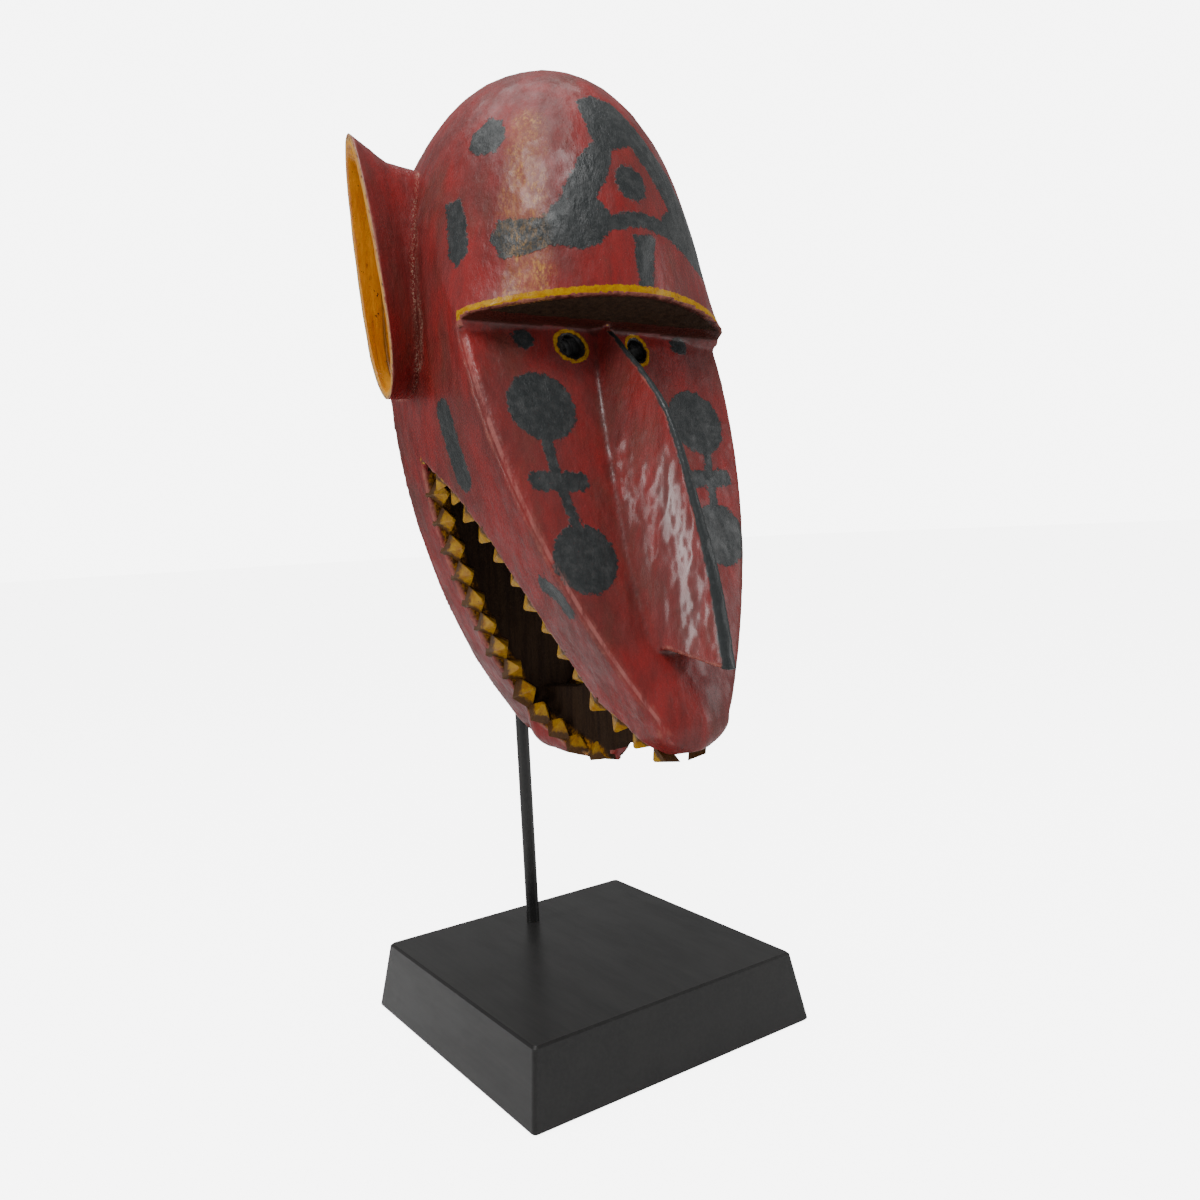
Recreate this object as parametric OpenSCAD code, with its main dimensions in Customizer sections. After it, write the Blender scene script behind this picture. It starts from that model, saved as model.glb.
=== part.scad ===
// Carved and painted wooden animal mask on a steel post and a square plinth.
// Frame: origin on the floor under the middle of the plinth, +Z up,
// the face looks along -Y and the mask is symmetric about X = 0.

/* [Mask] */
// Half-width of the head at the brow
head_half = 104; // [95:1:112]
// Height of the brow above the floor
brow_z = 490; // [488:1:492]
// Height of the domed forehead above the brow
dome_h = 181; // [165:1:190]
// Distance from the brow down to the chin
muzzle_h = 283; // [278:1:286]
// Forward lean of the face, as run over rise
face_lean = 0.35; // [0.30:0.01:0.38]
// Wall thickness of the carved shell
wall = 14; // [11:1:15]
// Distance that the brow stands out over the face
brow_reach = 51; // [40:1:55]

/* [Features] */
// Diameter of each eye hole
eye_d = 14; // [10:1:16]
// Distance between the middles of the eyes
eye_gap = 53; // [48:1:58]
// Number of teeth on each side of each jaw
teeth = 13; // [9:1:14]
// Height of one tooth
tooth_h = 10; // [6:1:11]
// Thickness of the ear's wall
ear_wall = 4.5; // [4:0.5:6]
// Diameter of the dowels that hold the ears
dowel_d = 8; // [6:1:8]

/* [Stand] */
// Side of the square plinth at its foot
plinth_foot = 228; // [220:1:240]
// Side of the plinth at its top
plinth_top = 213; // [200:1:216]
// Height of the top of the plinth above the floor
plinth_h = 50; // [46:1:56]
// Thickness of the felt under the plinth
felt_t = 1; // [1:0.5:2]
// Diameter of the steel post
post_d = 10; // [9:1:12]
// Distance of the post behind the middle of the plinth
post_y = 71; // [70:1:72]
// Height of the top of the post
post_top = 624; // [620:1:630]
// Diameter of the steel arm that carries the mask
arm_d = 8; // [7:1:9]

/* [Hidden] */

paint_red = [0.42, 0.09, 0.08];
paint_ochre = [0.85, 0.52, 0.08];
blackened = [0.07, 0.065, 0.06];
fine = 32;

// Back of the mask and the middle of the skull
rim_y = 58;
crown_y = 10;
chin_z = brow_z - 10 - muzzle_h;
face_top_z = brow_z - 10;
face_y0 = 60;

// Shared curves
function arch(t, n) = t >= 1 ? 0 : pow(1 - pow(max(t, 0), n), 1 / n);
function mix(a, b, t) = a + (b - a) * t;

// Half-width of the head's front outline at a height below the brow; the snout rounds off at its tip
snout_z = chin_z + 20;
snout_round = 20;
function taper_half(z) = let(t = (face_top_z - z) / muzzle_h) (head_half - 1) * pow(max(0, 1 - t * t), 0.94);
function jaw_half(z) = let(top = snout_z + snout_round)
    z >= face_top_z ? head_half - 1
    : z >= top ? taper_half(z)
    : taper_half(top) * sqrt(max(0, 1 - pow((top - z) / snout_round, 2)));

// Y of the flat face plate, curling back at the chin
function chin_curl(z) = z < chin_z + 45 ? 35 * pow((chin_z + 45 - z) / 45, 2) : 0;
function face_y(z) = -face_y0 - face_lean * (face_top_z - z) + chin_curl(z);

// Dome: front of the centre line, start of the front arc, and half-width
function dome_t(z) = (z - brow_z) / dome_h;
function dome_front(z) = crown_y - (crown_y + face_y0 + 1 + brow_reach) * arch(dome_t(z), 2.255);
function dome_side_y(z) = crown_y - (crown_y + face_y0 + 1) * arch(dome_t(z), 0.714);
function dome_half(z, s) = head_half * (1 - 0.042 * s * s) * arch(dome_t(z) / (1 - 0.066 * s * s), 2.155);
function dome_back(z) = min(1, sqrt(max(0, 1 - dome_t(z)) / 0.066));

// One plan ring of the dome, from the back on the right, round the front, to the back on the left
ring_steps = 14;
back_steps = 4;
function dome_right(z) = let(b = dome_back(z), y0 = dome_side_y(z), yf = dome_front(z), n = mix(1.67, 2, dome_t(z)))
    concat(
        [for (i = [0:back_steps - 1]) let(s = b * (1 - i / back_steps))
            [dome_half(z, s) + 0.02, mix(y0, rim_y, s), z]],
        [for (i = [0:ring_steps]) let(a = 90 * i / ring_steps)
            [dome_half(z, 0) * pow(cos(a), 2 / n), mix(y0, yf, pow(sin(a), 2 / n)), z]]
    );
function mirrored(right) = concat(right, [for (i = [len(right) - 2:-1:0]) [-right[i][0], right[i][1], right[i][2]]]);

// The underside of the snout slopes down towards the mouth
function snout_drop(y, z) = 0.24 * (y + 145) * min(1, max(0, (snout_z + 45 - z) / 45));

// One plan ring of the muzzle: straight sides, a small chamfer and a slightly bowed face plate
chamfer = 6;
function muzzle_right(z) = let(w = jaw_half(z), y = face_y(z), c = min(chamfer, 0.3 * w))
    [for (p = [[0.972 * w, rim_y], [0.993 * w, 10], [w, y + c], [w - c, y], [0.55 * w, y - 3.5], [0, y - 4.5]])
        [p[0], p[1], z - snout_drop(p[1], z)]];

// One plan ring of the hollow for the wearer's face, open through the back
hollow_floor = 424;
hollow_roof = brow_z + dome_h - 25;
hollow_y = -38;
function hollow_front(z) = z < brow_z ? hollow_y
    : max(dome_front(z) + wall + 1, hollow_y - 0.6 * (z - brow_z));
function hollow_round(z) = z > hollow_floor + 30 ? 1 : 0.72 + 0.28 * sin(90 * (z - hollow_floor) / 30);
function hollow_half(z) = hollow_round(z) * ((z < brow_z ? jaw_half(z) : dome_half(z + 3, 0)) - wall);
function hollow_right(z) = let(w = hollow_half(z), yf = hollow_front(z) * hollow_round(z), ys = mix(yf, rim_y, 0.6))
    concat([[w, rim_y + 10, z]],
        [for (i = [0:9]) let(a = 90 * i / 9)
            [w * pow(cos(a), 0.95), mix(ys, yf, pow(sin(a), 0.95)), z]]);

// Skin rings of equal length into a closed solid: rings run upwards, each clockwise seen from above
module skin(rings) {
    n = len(rings[0]);
    m = len(rings);
    points = [for (r = rings) each r];
    sides = [for (j = [0:m - 2]) for (i = [0:n - 1]) let(a = j * n + i, b = j * n + (i + 1) % n)
        each [[a, b, a + n], [b, b + n, a + n]]];
    caps = [[for (i = [n - 1:-1:0]) i], [for (i = [0:n - 1]) (m - 1) * n + i]];
    polyhedron(points, concat(sides, caps), convexity = 6);
}

dome_levels = [for (i = [0:20]) let(a = 90 * i / 20) brow_z + dome_h * 0.998 * sin(a)];

module dome() {
    skin(concat([mirrored([for (p = dome_right(brow_z)) [p[0], p[1], brow_z - 8]])],
        [for (z = dome_levels) mirrored(dome_right(z))]));
}

// The brow's underside rises from its corners to the middle of the forehead
module brow_undercut() {
    corner_y = -face_y0 - 1;
    reach = 80;
    rise = 12 / brow_reach;
    rotate([90, 0, 90])
        linear_extrude(3 * head_half, center = true)
            polygon([[corner_y, brow_z - 30], [corner_y, brow_z - 3],
                [corner_y - reach, brow_z - 3 + rise * reach], [corner_y - reach, brow_z - 30]]);
}

module muzzle() {
    levels = 26;
    skin([for (i = [0:levels]) let(f = i / levels)
        mirrored(muzzle_right(mix(snout_z + 0.5, brow_z + 4, f * (f + 0.12) / 1.12)))]);
}

// Long nose with a narrow flat crest: [base z, crest y, crest z, half-width at the face]
nose_path = [[486, -72, 486, 6], [456, -104, 456, 12.5], [430, -127, 430, 16.5], [402, -141, 402, 20],
    [360, -156, 359, 24.5], [324, -168, 321, 26], [284, -178, 269, 24]];
function crest(z) = mix(4, 1.5, (z - 284) / 202);
function nose_ring(p) = let(y = face_y(p[0]), c = crest(p[0]),
    flank_x = mix(p[3], c, 0.66), flank_y = mix(y, p[1], 0.4), flank_z = mix(p[0], p[2], 0.4))
    [[p[3], y + 3, p[0]], [flank_x, flank_y, flank_z], [c, p[1], p[2]], [-c, p[1], p[2]],
        [-flank_x, flank_y, flank_z], [-p[3], y + 3, p[0]], [0, y + 8, p[0]]];

module nose() {
    skin([for (i = [len(nose_path) - 1:-1:0]) nose_ring(nose_path[i])]);
}

// Lip lines in the side view: y of each lip at a height
join_z = chin_z + 65;
upper_lip = [[203, -126], [216, -126], [222, -122], [230, -112], [238, -101], [248, -89], [260, -82], [278, -78],
    [313, -65], [352, -44], [382, -17], [408, 20]];
lower_lip = [[join_z, 25], [281, 26], [343, 26], [378, 24], [408, 20]];

// Everything between the lips, and the block below join_z that the lower jaw fills again
module mouth_cut() {
    behind_y = rim_y + 10;
    below_z = chin_z - 40;
    rotate([90, 0, 90])
        linear_extrude(3 * head_half, center = true)
            polygon(concat([for (p = upper_lip) [p[1], p[0]]],
                [for (i = [len(lower_lip) - 2:-1:0]) [lower_lip[i][1], lower_lip[i][0]]],
                [[behind_y, join_z], [behind_y, below_z], [upper_lip[0][1], below_z]]));
}

// Back slab of the lower jaw, which narrows to a keel
keel_z = chin_z + 7;
function keel_half(z) = 0.972 * taper_half(join_z) * pow((z - keel_z) / (join_z - keel_z), 0.84);
module jaw_keel() {
    levels = 10;
    skin([for (i = [0:levels]) let(z = mix(keel_z + 0.3, join_z + 1, i / levels), w = keel_half(z))
        [[w, rim_y, z], [1.01 * w, 25, z], [-1.01 * w, 25, z], [-w, rim_y, z]]]);
}

// Scoop at the tip of the lower jaw: [y, half-width at the lip], then lip, underside and floor above chin_z
scoop = [[40, 14, 43, 8, 45], [18, 25, 31, 2, 41], [6, 22, 23, 1, 36], [-6, 19, 16, 0, 32],
    [-18, 15, 9, 0, 26], [-32, 11, 6, 0, 16], [-48, 6, 4, 0.5, 7], [-60, 2, 3, 1.5, 3.5]];
function scoop_ring(p) = let(right = [for (i = [0:4]) let(a = 90 * i / 4)
        [p[1] * pow(cos(a), 0.8), chin_z + mix(p[2], p[3], pow(sin(a), 0.8)), -p[0]]])
    concat(mirrored(right), [[-0.45 * p[1], chin_z + p[4], -p[0]], [0.45 * p[1], chin_z + p[4], -p[0]]]);
module jaw_scoop() {
    rotate([90, 0, 0]) skin([for (p = scoop) scoop_ring(p)]);
}

// Rough wood left between the jaws on the middle line, with a notch behind the snout
module jaw_web() {
    rotate([90, 0, 90])
        linear_extrude(14, center = true)
            polygon([[30, chin_z + 46], [-40, chin_z + 46], [-108, chin_z + 43], [-129, chin_z + 24],
                [-118, chin_z + 20], [-68, chin_z + 16], [-56, chin_z + 4], [0, chin_z + 8]]);
}

module tooth(x, y, z, lean) {
    root = 2;
    translate([x, y, z])
        rotate([-lean, 0, 0])
            translate([0, 0, -root])
                cylinder(h = tooth_h + root, r1 = 7, r2 = 0.3, $fn = 4);
}

module teeth_rows() {
    lip_in = 7;
    for (side = [-1, 1]) {
        for (i = [0:teeth - 1]) {
            z = mix(228, 390, i / (teeth - 1));
            tooth(side * max(5, jaw_half(z) - lip_in), lookup(z, upper_lip), z, 122);
        }
        for (i = [0:teeth - 5]) {
            z = mix(join_z + 6, 378, i / (teeth - 5));
            tooth(side * (jaw_half(z) - lip_in), lookup(z, lower_lip), z, -84);
        }
        for (i = [1:5]) {
            tooth(side * (scoop[i][1] - 4), scoop[i][0], chin_z + scoop[i][2], -20);
        }
    }
}

module hollow() {
    levels = 18;
    skin([for (i = [0:levels]) mirrored(hollow_right(mix(hollow_floor, hollow_roof, i / levels)))]);
}

module head_form() {
    dome();
    muzzle();
}

// Ear: a leaf-shaped trumpet that leans out, cut to the head's side
ear_root_x = 84;
ear_steps = 28;
function leaf_half(s) = s < 0.3 ? sqrt(max(0, 1 - pow(1 - s / 0.3, 2))) : pow(max(0, cos(90 * (s - 0.3) / 0.7)), 0.42);
function leaf_s(i) = let(a = 180 * i / (ear_steps / 2)) (1 - cos(a)) / 2;
function leaf(half, y_low, y_high, z_low, z_high, x_low, x_high) = [for (i = [0:ear_steps - 1])
    let(up = i <= ear_steps / 2, s = leaf_s(up ? i : ear_steps - i), d = (up ? 1 : -1) * half * leaf_half(s))
    [mix(x_low, x_high, s), mix(y_low, y_high, s) + d, mix(z_low, z_high, s)]];

module ear_form() {
    skin([
        leaf(19.5, 3, 17, 446, 617, 125, 135),
        leaf(23, 18, 24, 449, 605, 108, 108),
        leaf(26, 26, 26, 450, 602, ear_root_x, ear_root_x - 12)
    ]);
}

module ear_cup() {
    t = ear_wall;
    skin([
        leaf(19.5 - t, 2, 17, 446 + t, 617 - 2 * t, 131, 141),
        leaf(19.5 - t, 3, 17, 446 + t, 617 - 2 * t, 125, 135),
        leaf(12, 20, 22, 462, 570, 111, 111)
    ]);
}

// Dowels: inner end, y and z of each, on the right-hand side of the frame
dowel_len = 16;
dowels = [[92, 18, 480], [89, 22, 545]];
module dowel_pair(extra) {
    for (p = dowels) {
        translate([p[0] - extra, p[1], p[2]])
            rotate([0, 90, 0])
                cylinder(h = dowel_len + 2 * extra, d = dowel_d + extra / 5, $fn = fine);
    }
}

module eye_holes() {
    eye_z = 474;
    for (side = [-1, 1]) {
        translate([side * eye_gap / 2, -30, eye_z])
            rotate([90, 0, 0])
                cylinder(h = 60, d = eye_d, $fn = fine);
    }
}

// The carved block stays one mesh; the drilled holes are cut from it afterwards
module mask_head() {
    color(paint_red)
        difference() {
            resize([0, 0, 0])
                union() {
                    difference() {
                        union() {
                            difference() {
                                head_form();
                                brow_undercut();
                            }
                            nose_and_plate();
                        }
                        hollow();
                        mouth_cut();
                    }
                    jaw_keel();
                    jaw_scoop();
                    jaw_web();
                    teeth_rows();
                }
            eye_holes();
            dowel_pair(0.5);
            mirror([1, 0, 0]) dowel_pair(0.5);
        }
}

// The face under the brow, put back after the brow is undercut
module nose_and_plate() {
    nose();
    intersection() {
        muzzle();
        translate([-head_half, -190, chin_z - 10]) cube([2 * head_half, 250, muzzle_h + 16]);
    }
}

// One ear, on the side where x has the given sign
module ear(side) {
    flip = [side < 0 ? 1 : 0, 0, 0];
    difference() {
        resize([0, 0, 0])
            difference() {
                mirror(flip) ear_form();
                mirror(flip) ear_cup();
                head_form();
            }
        mirror(flip) dowel_pair(0.5);
    }
}

module ear_left() {
    color(paint_red) ear(1);
}

module ear_right() {
    color(paint_red) ear(-1);
}

module ear_dowels_left() {
    color("burlywood") dowel_pair(0);
}

module ear_dowels_right() {
    color("burlywood") mirror([1, 0, 0]) dowel_pair(0);
}

// Stand: the post sits in a blind hole and a bolt from below pulls it down
edge_r = 2.5;
seat_depth = 26;
counterbore_d = 24;
counterbore_top = 14;
bolt_d = 6;
washer_t = 1.6;
head_t = 4;
shank_len = 26;
thread_depth = 18;

module felt_base() {
    inset = 3;
    size = plinth_foot - 2 * inset;
    color([0.05, 0.05, 0.05])
        translate([-size / 2, -size / 2, 0])
            difference() {
                cube([size, size, felt_t]);
                translate([size / 2, size / 2 + post_y, -1])
                    cylinder(h = felt_t + 2, d = counterbore_d, $fn = fine);
            }
}

module plinth_layer(side, z, t, r) {
    a = side / 2 - r;
    for (x = [-a, a], y = [-a, a]) {
        translate([x, y, z]) cylinder(h = t, r = r, $fn = 16);
    }
}

module plinth() {
    top_in = plinth_top - 2 * edge_r * 0.6;
    color(blackened)
        difference() {
            hull() {
                plinth_layer(plinth_foot - 2, felt_t, 1, edge_r);
                plinth_layer(plinth_foot, felt_t + 1, 1, edge_r);
                plinth_layer(plinth_top, plinth_h - 2.5, 1, edge_r);
                plinth_layer(top_in, plinth_h - 1, 1, edge_r);
            }
            translate([0, post_y, plinth_h - seat_depth])
                cylinder(h = seat_depth + 1, d = post_d + 0.1, $fn = fine);
            translate([0, post_y, 0])
                cylinder(h = plinth_h, d = bolt_d + 0.4, $fn = fine);
            translate([0, post_y, 0])
                cylinder(h = counterbore_top, d = counterbore_d, $fn = fine);
        }
}

module base_washer() {
    color("silver")
        translate([0, post_y, counterbore_top - washer_t])
            difference() {
                cylinder(h = washer_t, d = 18, $fn = fine);
                translate([0, 0, -1]) cylinder(h = washer_t + 2, d = bolt_d + 0.4, $fn = fine);
            }
}

module base_bolt() {
    under = counterbore_top - washer_t;
    color("silver")
        translate([0, post_y, 0]) {
            translate([0, 0, under - head_t]) cylinder(h = head_t, d = 11, $fn = 6);
            translate([0, 0, under - 0.5]) cylinder(h = shank_len + 0.5, d = bolt_d, $fn = fine);
        }
}

module post() {
    foot = plinth_h - seat_depth;
    color(blackened)
        translate([0, post_y, foot])
            difference() {
                cylinder(h = post_top - foot, d = post_d, $fn = fine);
                translate([0, 0, -1]) cylinder(h = thread_depth + 1, d = bolt_d + 0.06, $fn = fine);
            }
}

// Arm: brazed to the front of the post, it slopes up into the skull and carries the roof of the hollow
arm_slope = 14;
arm_z = 615;
arm_len = 103;
sleeve_len = 40;
sleeve_t = 2;

module along_arm() {
    translate([0, post_y, arm_z]) rotate([90 - arm_slope, 0, 0]) children();
}

module hook_arm() {
    color(blackened)
        difference() {
            along_arm() cylinder(h = arm_len, d = arm_d, $fn = fine);
            translate([0, post_y, arm_z - 30]) cylinder(h = 60, d = post_d, $fn = fine);
        }
}

module arm_sleeve() {
    color([0.1, 0.1, 0.1])
        along_arm()
            translate([0, 0, arm_len - sleeve_len])
                difference() {
                    cylinder(h = sleeve_len, d = arm_d + 2 * sleeve_t, $fn = fine);
                    translate([0, 0, -1]) cylinder(h = sleeve_len + 2, d = arm_d + 0.1, $fn = fine);
                }
}

// Spreader: a flat bar brazed across the post, with felt pads against the back of the jaw
spreader_z = 350;
bar_t = 4;
bar_h = 12;
pad_d = 11;
pad_x = 45;
pad_gap = 0.4;

module spreader_bar() {
    half = pad_x + pad_d / 2;
    color(blackened)
        translate([-half, post_y - post_d / 2 - bar_t, spreader_z - bar_h / 2])
            cube([2 * half, bar_t, bar_h]);
}

module spreader_pads() {
    bar_front = post_y - post_d / 2 - bar_t;
    color([0.1, 0.1, 0.1])
        for (side = [-1, 1]) {
            translate([side * pad_x, bar_front, spreader_z])
                rotate([90, 0, 0])
                    cylinder(h = bar_front - rim_y - pad_gap, d = pad_d, $fn = fine);
        }
}

felt_base();
plinth();
base_washer();
base_bolt();
post();
hook_arm();
arm_sleeve();
spreader_bar();
spreader_pads();
mask_head();
ear_left();
ear_right();
ear_dowels_left();
ear_dowels_right();
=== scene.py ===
"""Carved and painted animal mask on a steel post and a wooden plinth.

Every length inside the shape functions is in millimetres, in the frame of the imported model:
+Z is up, the face looks along -Y and the mask is symmetric about X = 0.
"""

import math

import bmesh
import bpy
import numpy as np
from bpy.props import FloatProperty, FloatVectorProperty, IntProperty, PointerProperty
from mathutils import Matrix, Vector
from mathutils.bvhtree import BVHTree


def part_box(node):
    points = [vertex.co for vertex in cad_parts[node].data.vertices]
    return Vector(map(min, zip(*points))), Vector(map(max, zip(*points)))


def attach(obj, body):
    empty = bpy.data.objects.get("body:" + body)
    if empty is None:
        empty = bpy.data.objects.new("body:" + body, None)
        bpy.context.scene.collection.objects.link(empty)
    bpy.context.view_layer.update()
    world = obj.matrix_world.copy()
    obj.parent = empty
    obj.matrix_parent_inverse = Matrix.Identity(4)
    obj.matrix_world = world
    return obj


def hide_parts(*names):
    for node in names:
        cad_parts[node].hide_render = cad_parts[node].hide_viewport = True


bl_info = {
    "name": "Carved Animal Mask",
    "version": (1, 0, 0),
    "blender": (4, 5, 0),
    "location": "View3D > Sidebar > Carved Mask",
    "description": "Carves, paints and mounts a wooden animal mask with cup ears, long nose and open jaws",
    "category": "Add Mesh",
}

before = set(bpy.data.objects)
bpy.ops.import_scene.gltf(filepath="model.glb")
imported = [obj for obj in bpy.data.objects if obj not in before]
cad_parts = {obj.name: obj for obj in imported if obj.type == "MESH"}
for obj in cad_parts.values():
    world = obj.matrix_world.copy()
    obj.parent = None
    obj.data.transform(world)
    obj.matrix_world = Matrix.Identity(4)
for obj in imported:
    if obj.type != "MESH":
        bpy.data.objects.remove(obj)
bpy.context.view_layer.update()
MM = 0.001
BODY_MASK = "mask"


# ---------------------------------------------------------------- sizes from the frame

def box_mm(node):
    """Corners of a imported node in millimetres."""
    lo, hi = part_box(node)
    return np.array(lo) / MM, np.array(hi) / MM


HEAD_LO, HEAD_HI = box_mm("mask_head")
HEAD_HALF = HEAD_HI[0]
RIM_Y = HEAD_HI[1]
CHIN_Z = HEAD_LO[2]
CROWN_Z = HEAD_HI[2]
BROW_Z = CHIN_Z + 293.0
FACE_TOP_Z = BROW_Z - 10.0
MUZZLE_H = FACE_TOP_Z - CHIN_Z
DOME_H = CROWN_Z - BROW_Z
CROWN_Y = 10.0
FACE_Y0 = 60.0
FACE_LEAN = 0.35
BROW_REACH = 51.0
SNOUT_Z = CHIN_Z + 20.0
SNOUT_ROUND = 20.0
JOIN_Z = CHIN_Z + 65.0
KEEL_Z = CHIN_Z + 7.0
SLAB_Y = 25.0
EYE_X, EYE_Z, EYE_R = 26.5, 474.0, 7.0
WALL = 14.0
HOLLOW_FLOOR = CHIN_Z + 227.0
HOLLOW_ROOF = CROWN_Z - 25.0
HOLLOW_Y = -38.0
CHAMFER = 4.5

BROW_EDGE_Y = -FACE_Y0 - 1.0  # lower edge of the brow where it leaves the face
BROW_EDGE_Z = BROW_Z - 3.0
BROW_RISE = 12.0 / BROW_REACH
CUTTER_HALF = 160.0  # half-width of a cutter that passes right through the head


# ---------------------------------------------------------------- user settings

class CarvingSettings(bpy.types.PropertyGroup):
    """Sizes that steer how the mask is carved."""

    voxel: FloatProperty(
        name="Chisel Fineness", description="Size of the finest carved detail on the head",
        default=0.0016, min=0.0008, max=0.004, unit="LENGTH", subtype="DISTANCE")
    teeth: IntProperty(
        name="Teeth per Side", description="Teeth on each side of each jaw", default=13, min=6, max=16)
    tooth_height: FloatProperty(
        name="Tooth Height", description="How far one tooth stands out of the lip",
        default=0.0120, min=0.004, max=0.013, unit="LENGTH", subtype="DISTANCE")
    adze: FloatProperty(
        name="Adze Marks", description="Depth of the shallow facets that the blade left",
        default=0.0005, min=0.0, max=0.002, unit="LENGTH", subtype="DISTANCE")
    gouge: FloatProperty(
        name="Gouge Marks", description="Depth of the rough cuts in the hollow and the mouth",
        default=0.0012, min=0.0, max=0.003, unit="LENGTH", subtype="DISTANCE")
    ear_wall: FloatProperty(
        name="Ear Wall", description="Thickness of the ear's rim",
        default=0.0045, min=0.003, max=0.007, unit="LENGTH", subtype="DISTANCE")


class PaintSettings(bpy.types.PropertyGroup):
    """Colours of the paint, the wood and the stand."""

    red: FloatVectorProperty(
        name="Red Paint", description="Main colour of the head", subtype="COLOR",
        default=(0.205, 0.0110, 0.0100), min=0.0, max=1.0)
    maroon: FloatVectorProperty(
        name="Old Red", description="Duller, older red that shows through", subtype="COLOR",
        default=(0.112, 0.0170, 0.0150), min=0.0, max=1.0)
    black: FloatVectorProperty(
        name="Black Marks", description="Colour of the painted marks", subtype="COLOR",
        default=(0.0150, 0.0180, 0.0185), min=0.0, max=1.0)
    yellow: FloatVectorProperty(
        name="Yellow Paint", description="Colour of the brow line, eye rings and teeth", subtype="COLOR",
        default=(0.37, 0.195, 0.0008), min=0.0, max=1.0)
    wood: FloatVectorProperty(
        name="Bare Wood", description="Unpainted inside of the mouth and of the hollow", subtype="COLOR",
        default=(0.034, 0.0190, 0.0110), min=0.0, max=1.0)


# ---------------------------------------------------------------- shape curves of the head

def mix(a, b, t):
    """Straight blend from a to b."""
    return a + (b - a) * t


def arch(t, n):
    """Height of a superellipse arch, 1 at t = 0 and 0 at t = 1."""
    return (1.0 - min(max(t, 0.0), 1.0) ** n) ** (1.0 / n)


def taper_half(z):
    """Half-width of the long muzzle in front view."""
    t = (FACE_TOP_Z - z) / MUZZLE_H
    return (HEAD_HALF - 1.0) * max(0.0, 1.0 - t * t) ** 0.94


def jaw_half(z):
    """Half-width of the head below the brow, rounded off at the tip of the snout."""
    top = SNOUT_Z + SNOUT_ROUND
    if z >= FACE_TOP_Z:
        return HEAD_HALF - 1.0
    if z >= top:
        return taper_half(z)
    return taper_half(top) * math.sqrt(max(0.0, 1.0 - ((top - z) / SNOUT_ROUND) ** 2))


def snout_drop(y, z):
    """How far the underside of the snout hangs lower towards the mouth."""
    return 0.24 * (y + 145.0) * min(1.0, max(0.0, (SNOUT_Z + 45.0 - z) / 45.0))


def face_y(z):
    """Y of the flat face plate, curling back at the chin."""
    curl_from = CHIN_Z + 45.0
    curl = 35.0 * ((curl_from - z) / 45.0) ** 2 if z < curl_from else 0.0
    return -FACE_Y0 - FACE_LEAN * (FACE_TOP_Z - z) + curl


def dome_t(z):
    """Height in the dome, 0 at the brow and 1 at the crown."""
    return (z - BROW_Z) / DOME_H


def dome_front(z):
    """Y of the forehead on the middle line."""
    return CROWN_Y - (CROWN_Y + FACE_Y0 + 1.0 + BROW_REACH) * arch(dome_t(z), 2.255)


def dome_side_y(z):
    """Y at which the forehead's arc starts from the straight side."""
    return CROWN_Y - (CROWN_Y + FACE_Y0 + 1.0) * arch(dome_t(z), 0.714)


def dome_half(z, s):
    """Half-width of the dome; s runs from 0 at the temple to 1 at the back rim."""
    return HEAD_HALF * (1.0 - 0.042 * s * s) * arch(dome_t(z) / (1.0 - 0.066 * s * s), 2.155)


def mirrored(right):
    """A whole plan ring from its right half, which ends on the middle line."""
    return right + [(-x, y, z) for x, y, z in reversed(right[:-1])]


def dome_ring(z, steps=56, back_steps=10):
    """Plan ring of the dome."""
    back = min(1.0, math.sqrt(max(0.0, 1.0 - dome_t(z)) / 0.066))
    side, front = dome_side_y(z), dome_front(z)
    power = 2.0 / mix(1.67, 2.0, max(0.0, dome_t(z)))
    ring = []
    for i in range(back_steps):
        s = back * (1.0 - i / back_steps)
        ring.append((dome_half(z, s) + 0.02, mix(side, RIM_Y, s), z))
    for i in range(steps + 1):
        a = math.pi / 2 * i / steps
        c = max(0.0, math.cos(a))
        ring.append((dome_half(z, 0.0) * c ** power, mix(side, front, math.sin(a) ** power), z))
    return mirrored(ring)


def muzzle_ring(z):
    """Plan ring of the muzzle: straight sides, a chamfer and a slightly bowed face plate."""
    half, y = jaw_half(z), face_y(z)
    chamfer = min(CHAMFER, 0.3 * half)
    ring = [(0.972 * half, RIM_Y), (0.985 * half, 34.0), (0.993 * half, 10.0)]
    for i in range(1, 6):
        ring.append((mix(0.993, 1.0, i / 5) * half, mix(10.0, y + chamfer, i / 5)))
    for i in range(13):
        t = i / 12
        ring.append((mix(half - chamfer, 0.0, t), y - 4.5 * math.sin(math.pi / 2 * t)))
    return mirrored([(x, yy, z - snout_drop(yy, z)) for x, yy in ring])


def hollow_front(z):
    """Y of the hollow's front wall on the middle line."""
    return HOLLOW_Y if z < BROW_Z else max(dome_front(z) + WALL + 1.0, HOLLOW_Y - 0.6 * (z - BROW_Z))


def hollow_half(z):
    """Half-width of the hollow."""
    return (jaw_half(z) if z < BROW_Z else dome_half(z + 3.0, 0.0)) - WALL


def hollow_ring(z):
    """Plan ring of the hollow for the wearer's face, open through the back."""
    rise = (z - HOLLOW_FLOOR) / 30.0
    closing = 1.0 if rise > 1.0 else 0.72 + 0.28 * math.sin(math.pi / 2 * rise)
    half, front = closing * hollow_half(z), closing * hollow_front(z)
    side = mix(front, RIM_Y, 0.6)
    ring = [(half, RIM_Y + 10.0, z)]
    for i in range(25):
        a = math.pi / 2 * i / 24
        c = max(0.0, math.cos(a))
        ring.append((half * c ** 0.95, mix(side, front, math.sin(a) ** 0.95), z))
    return mirrored(ring)


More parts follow.
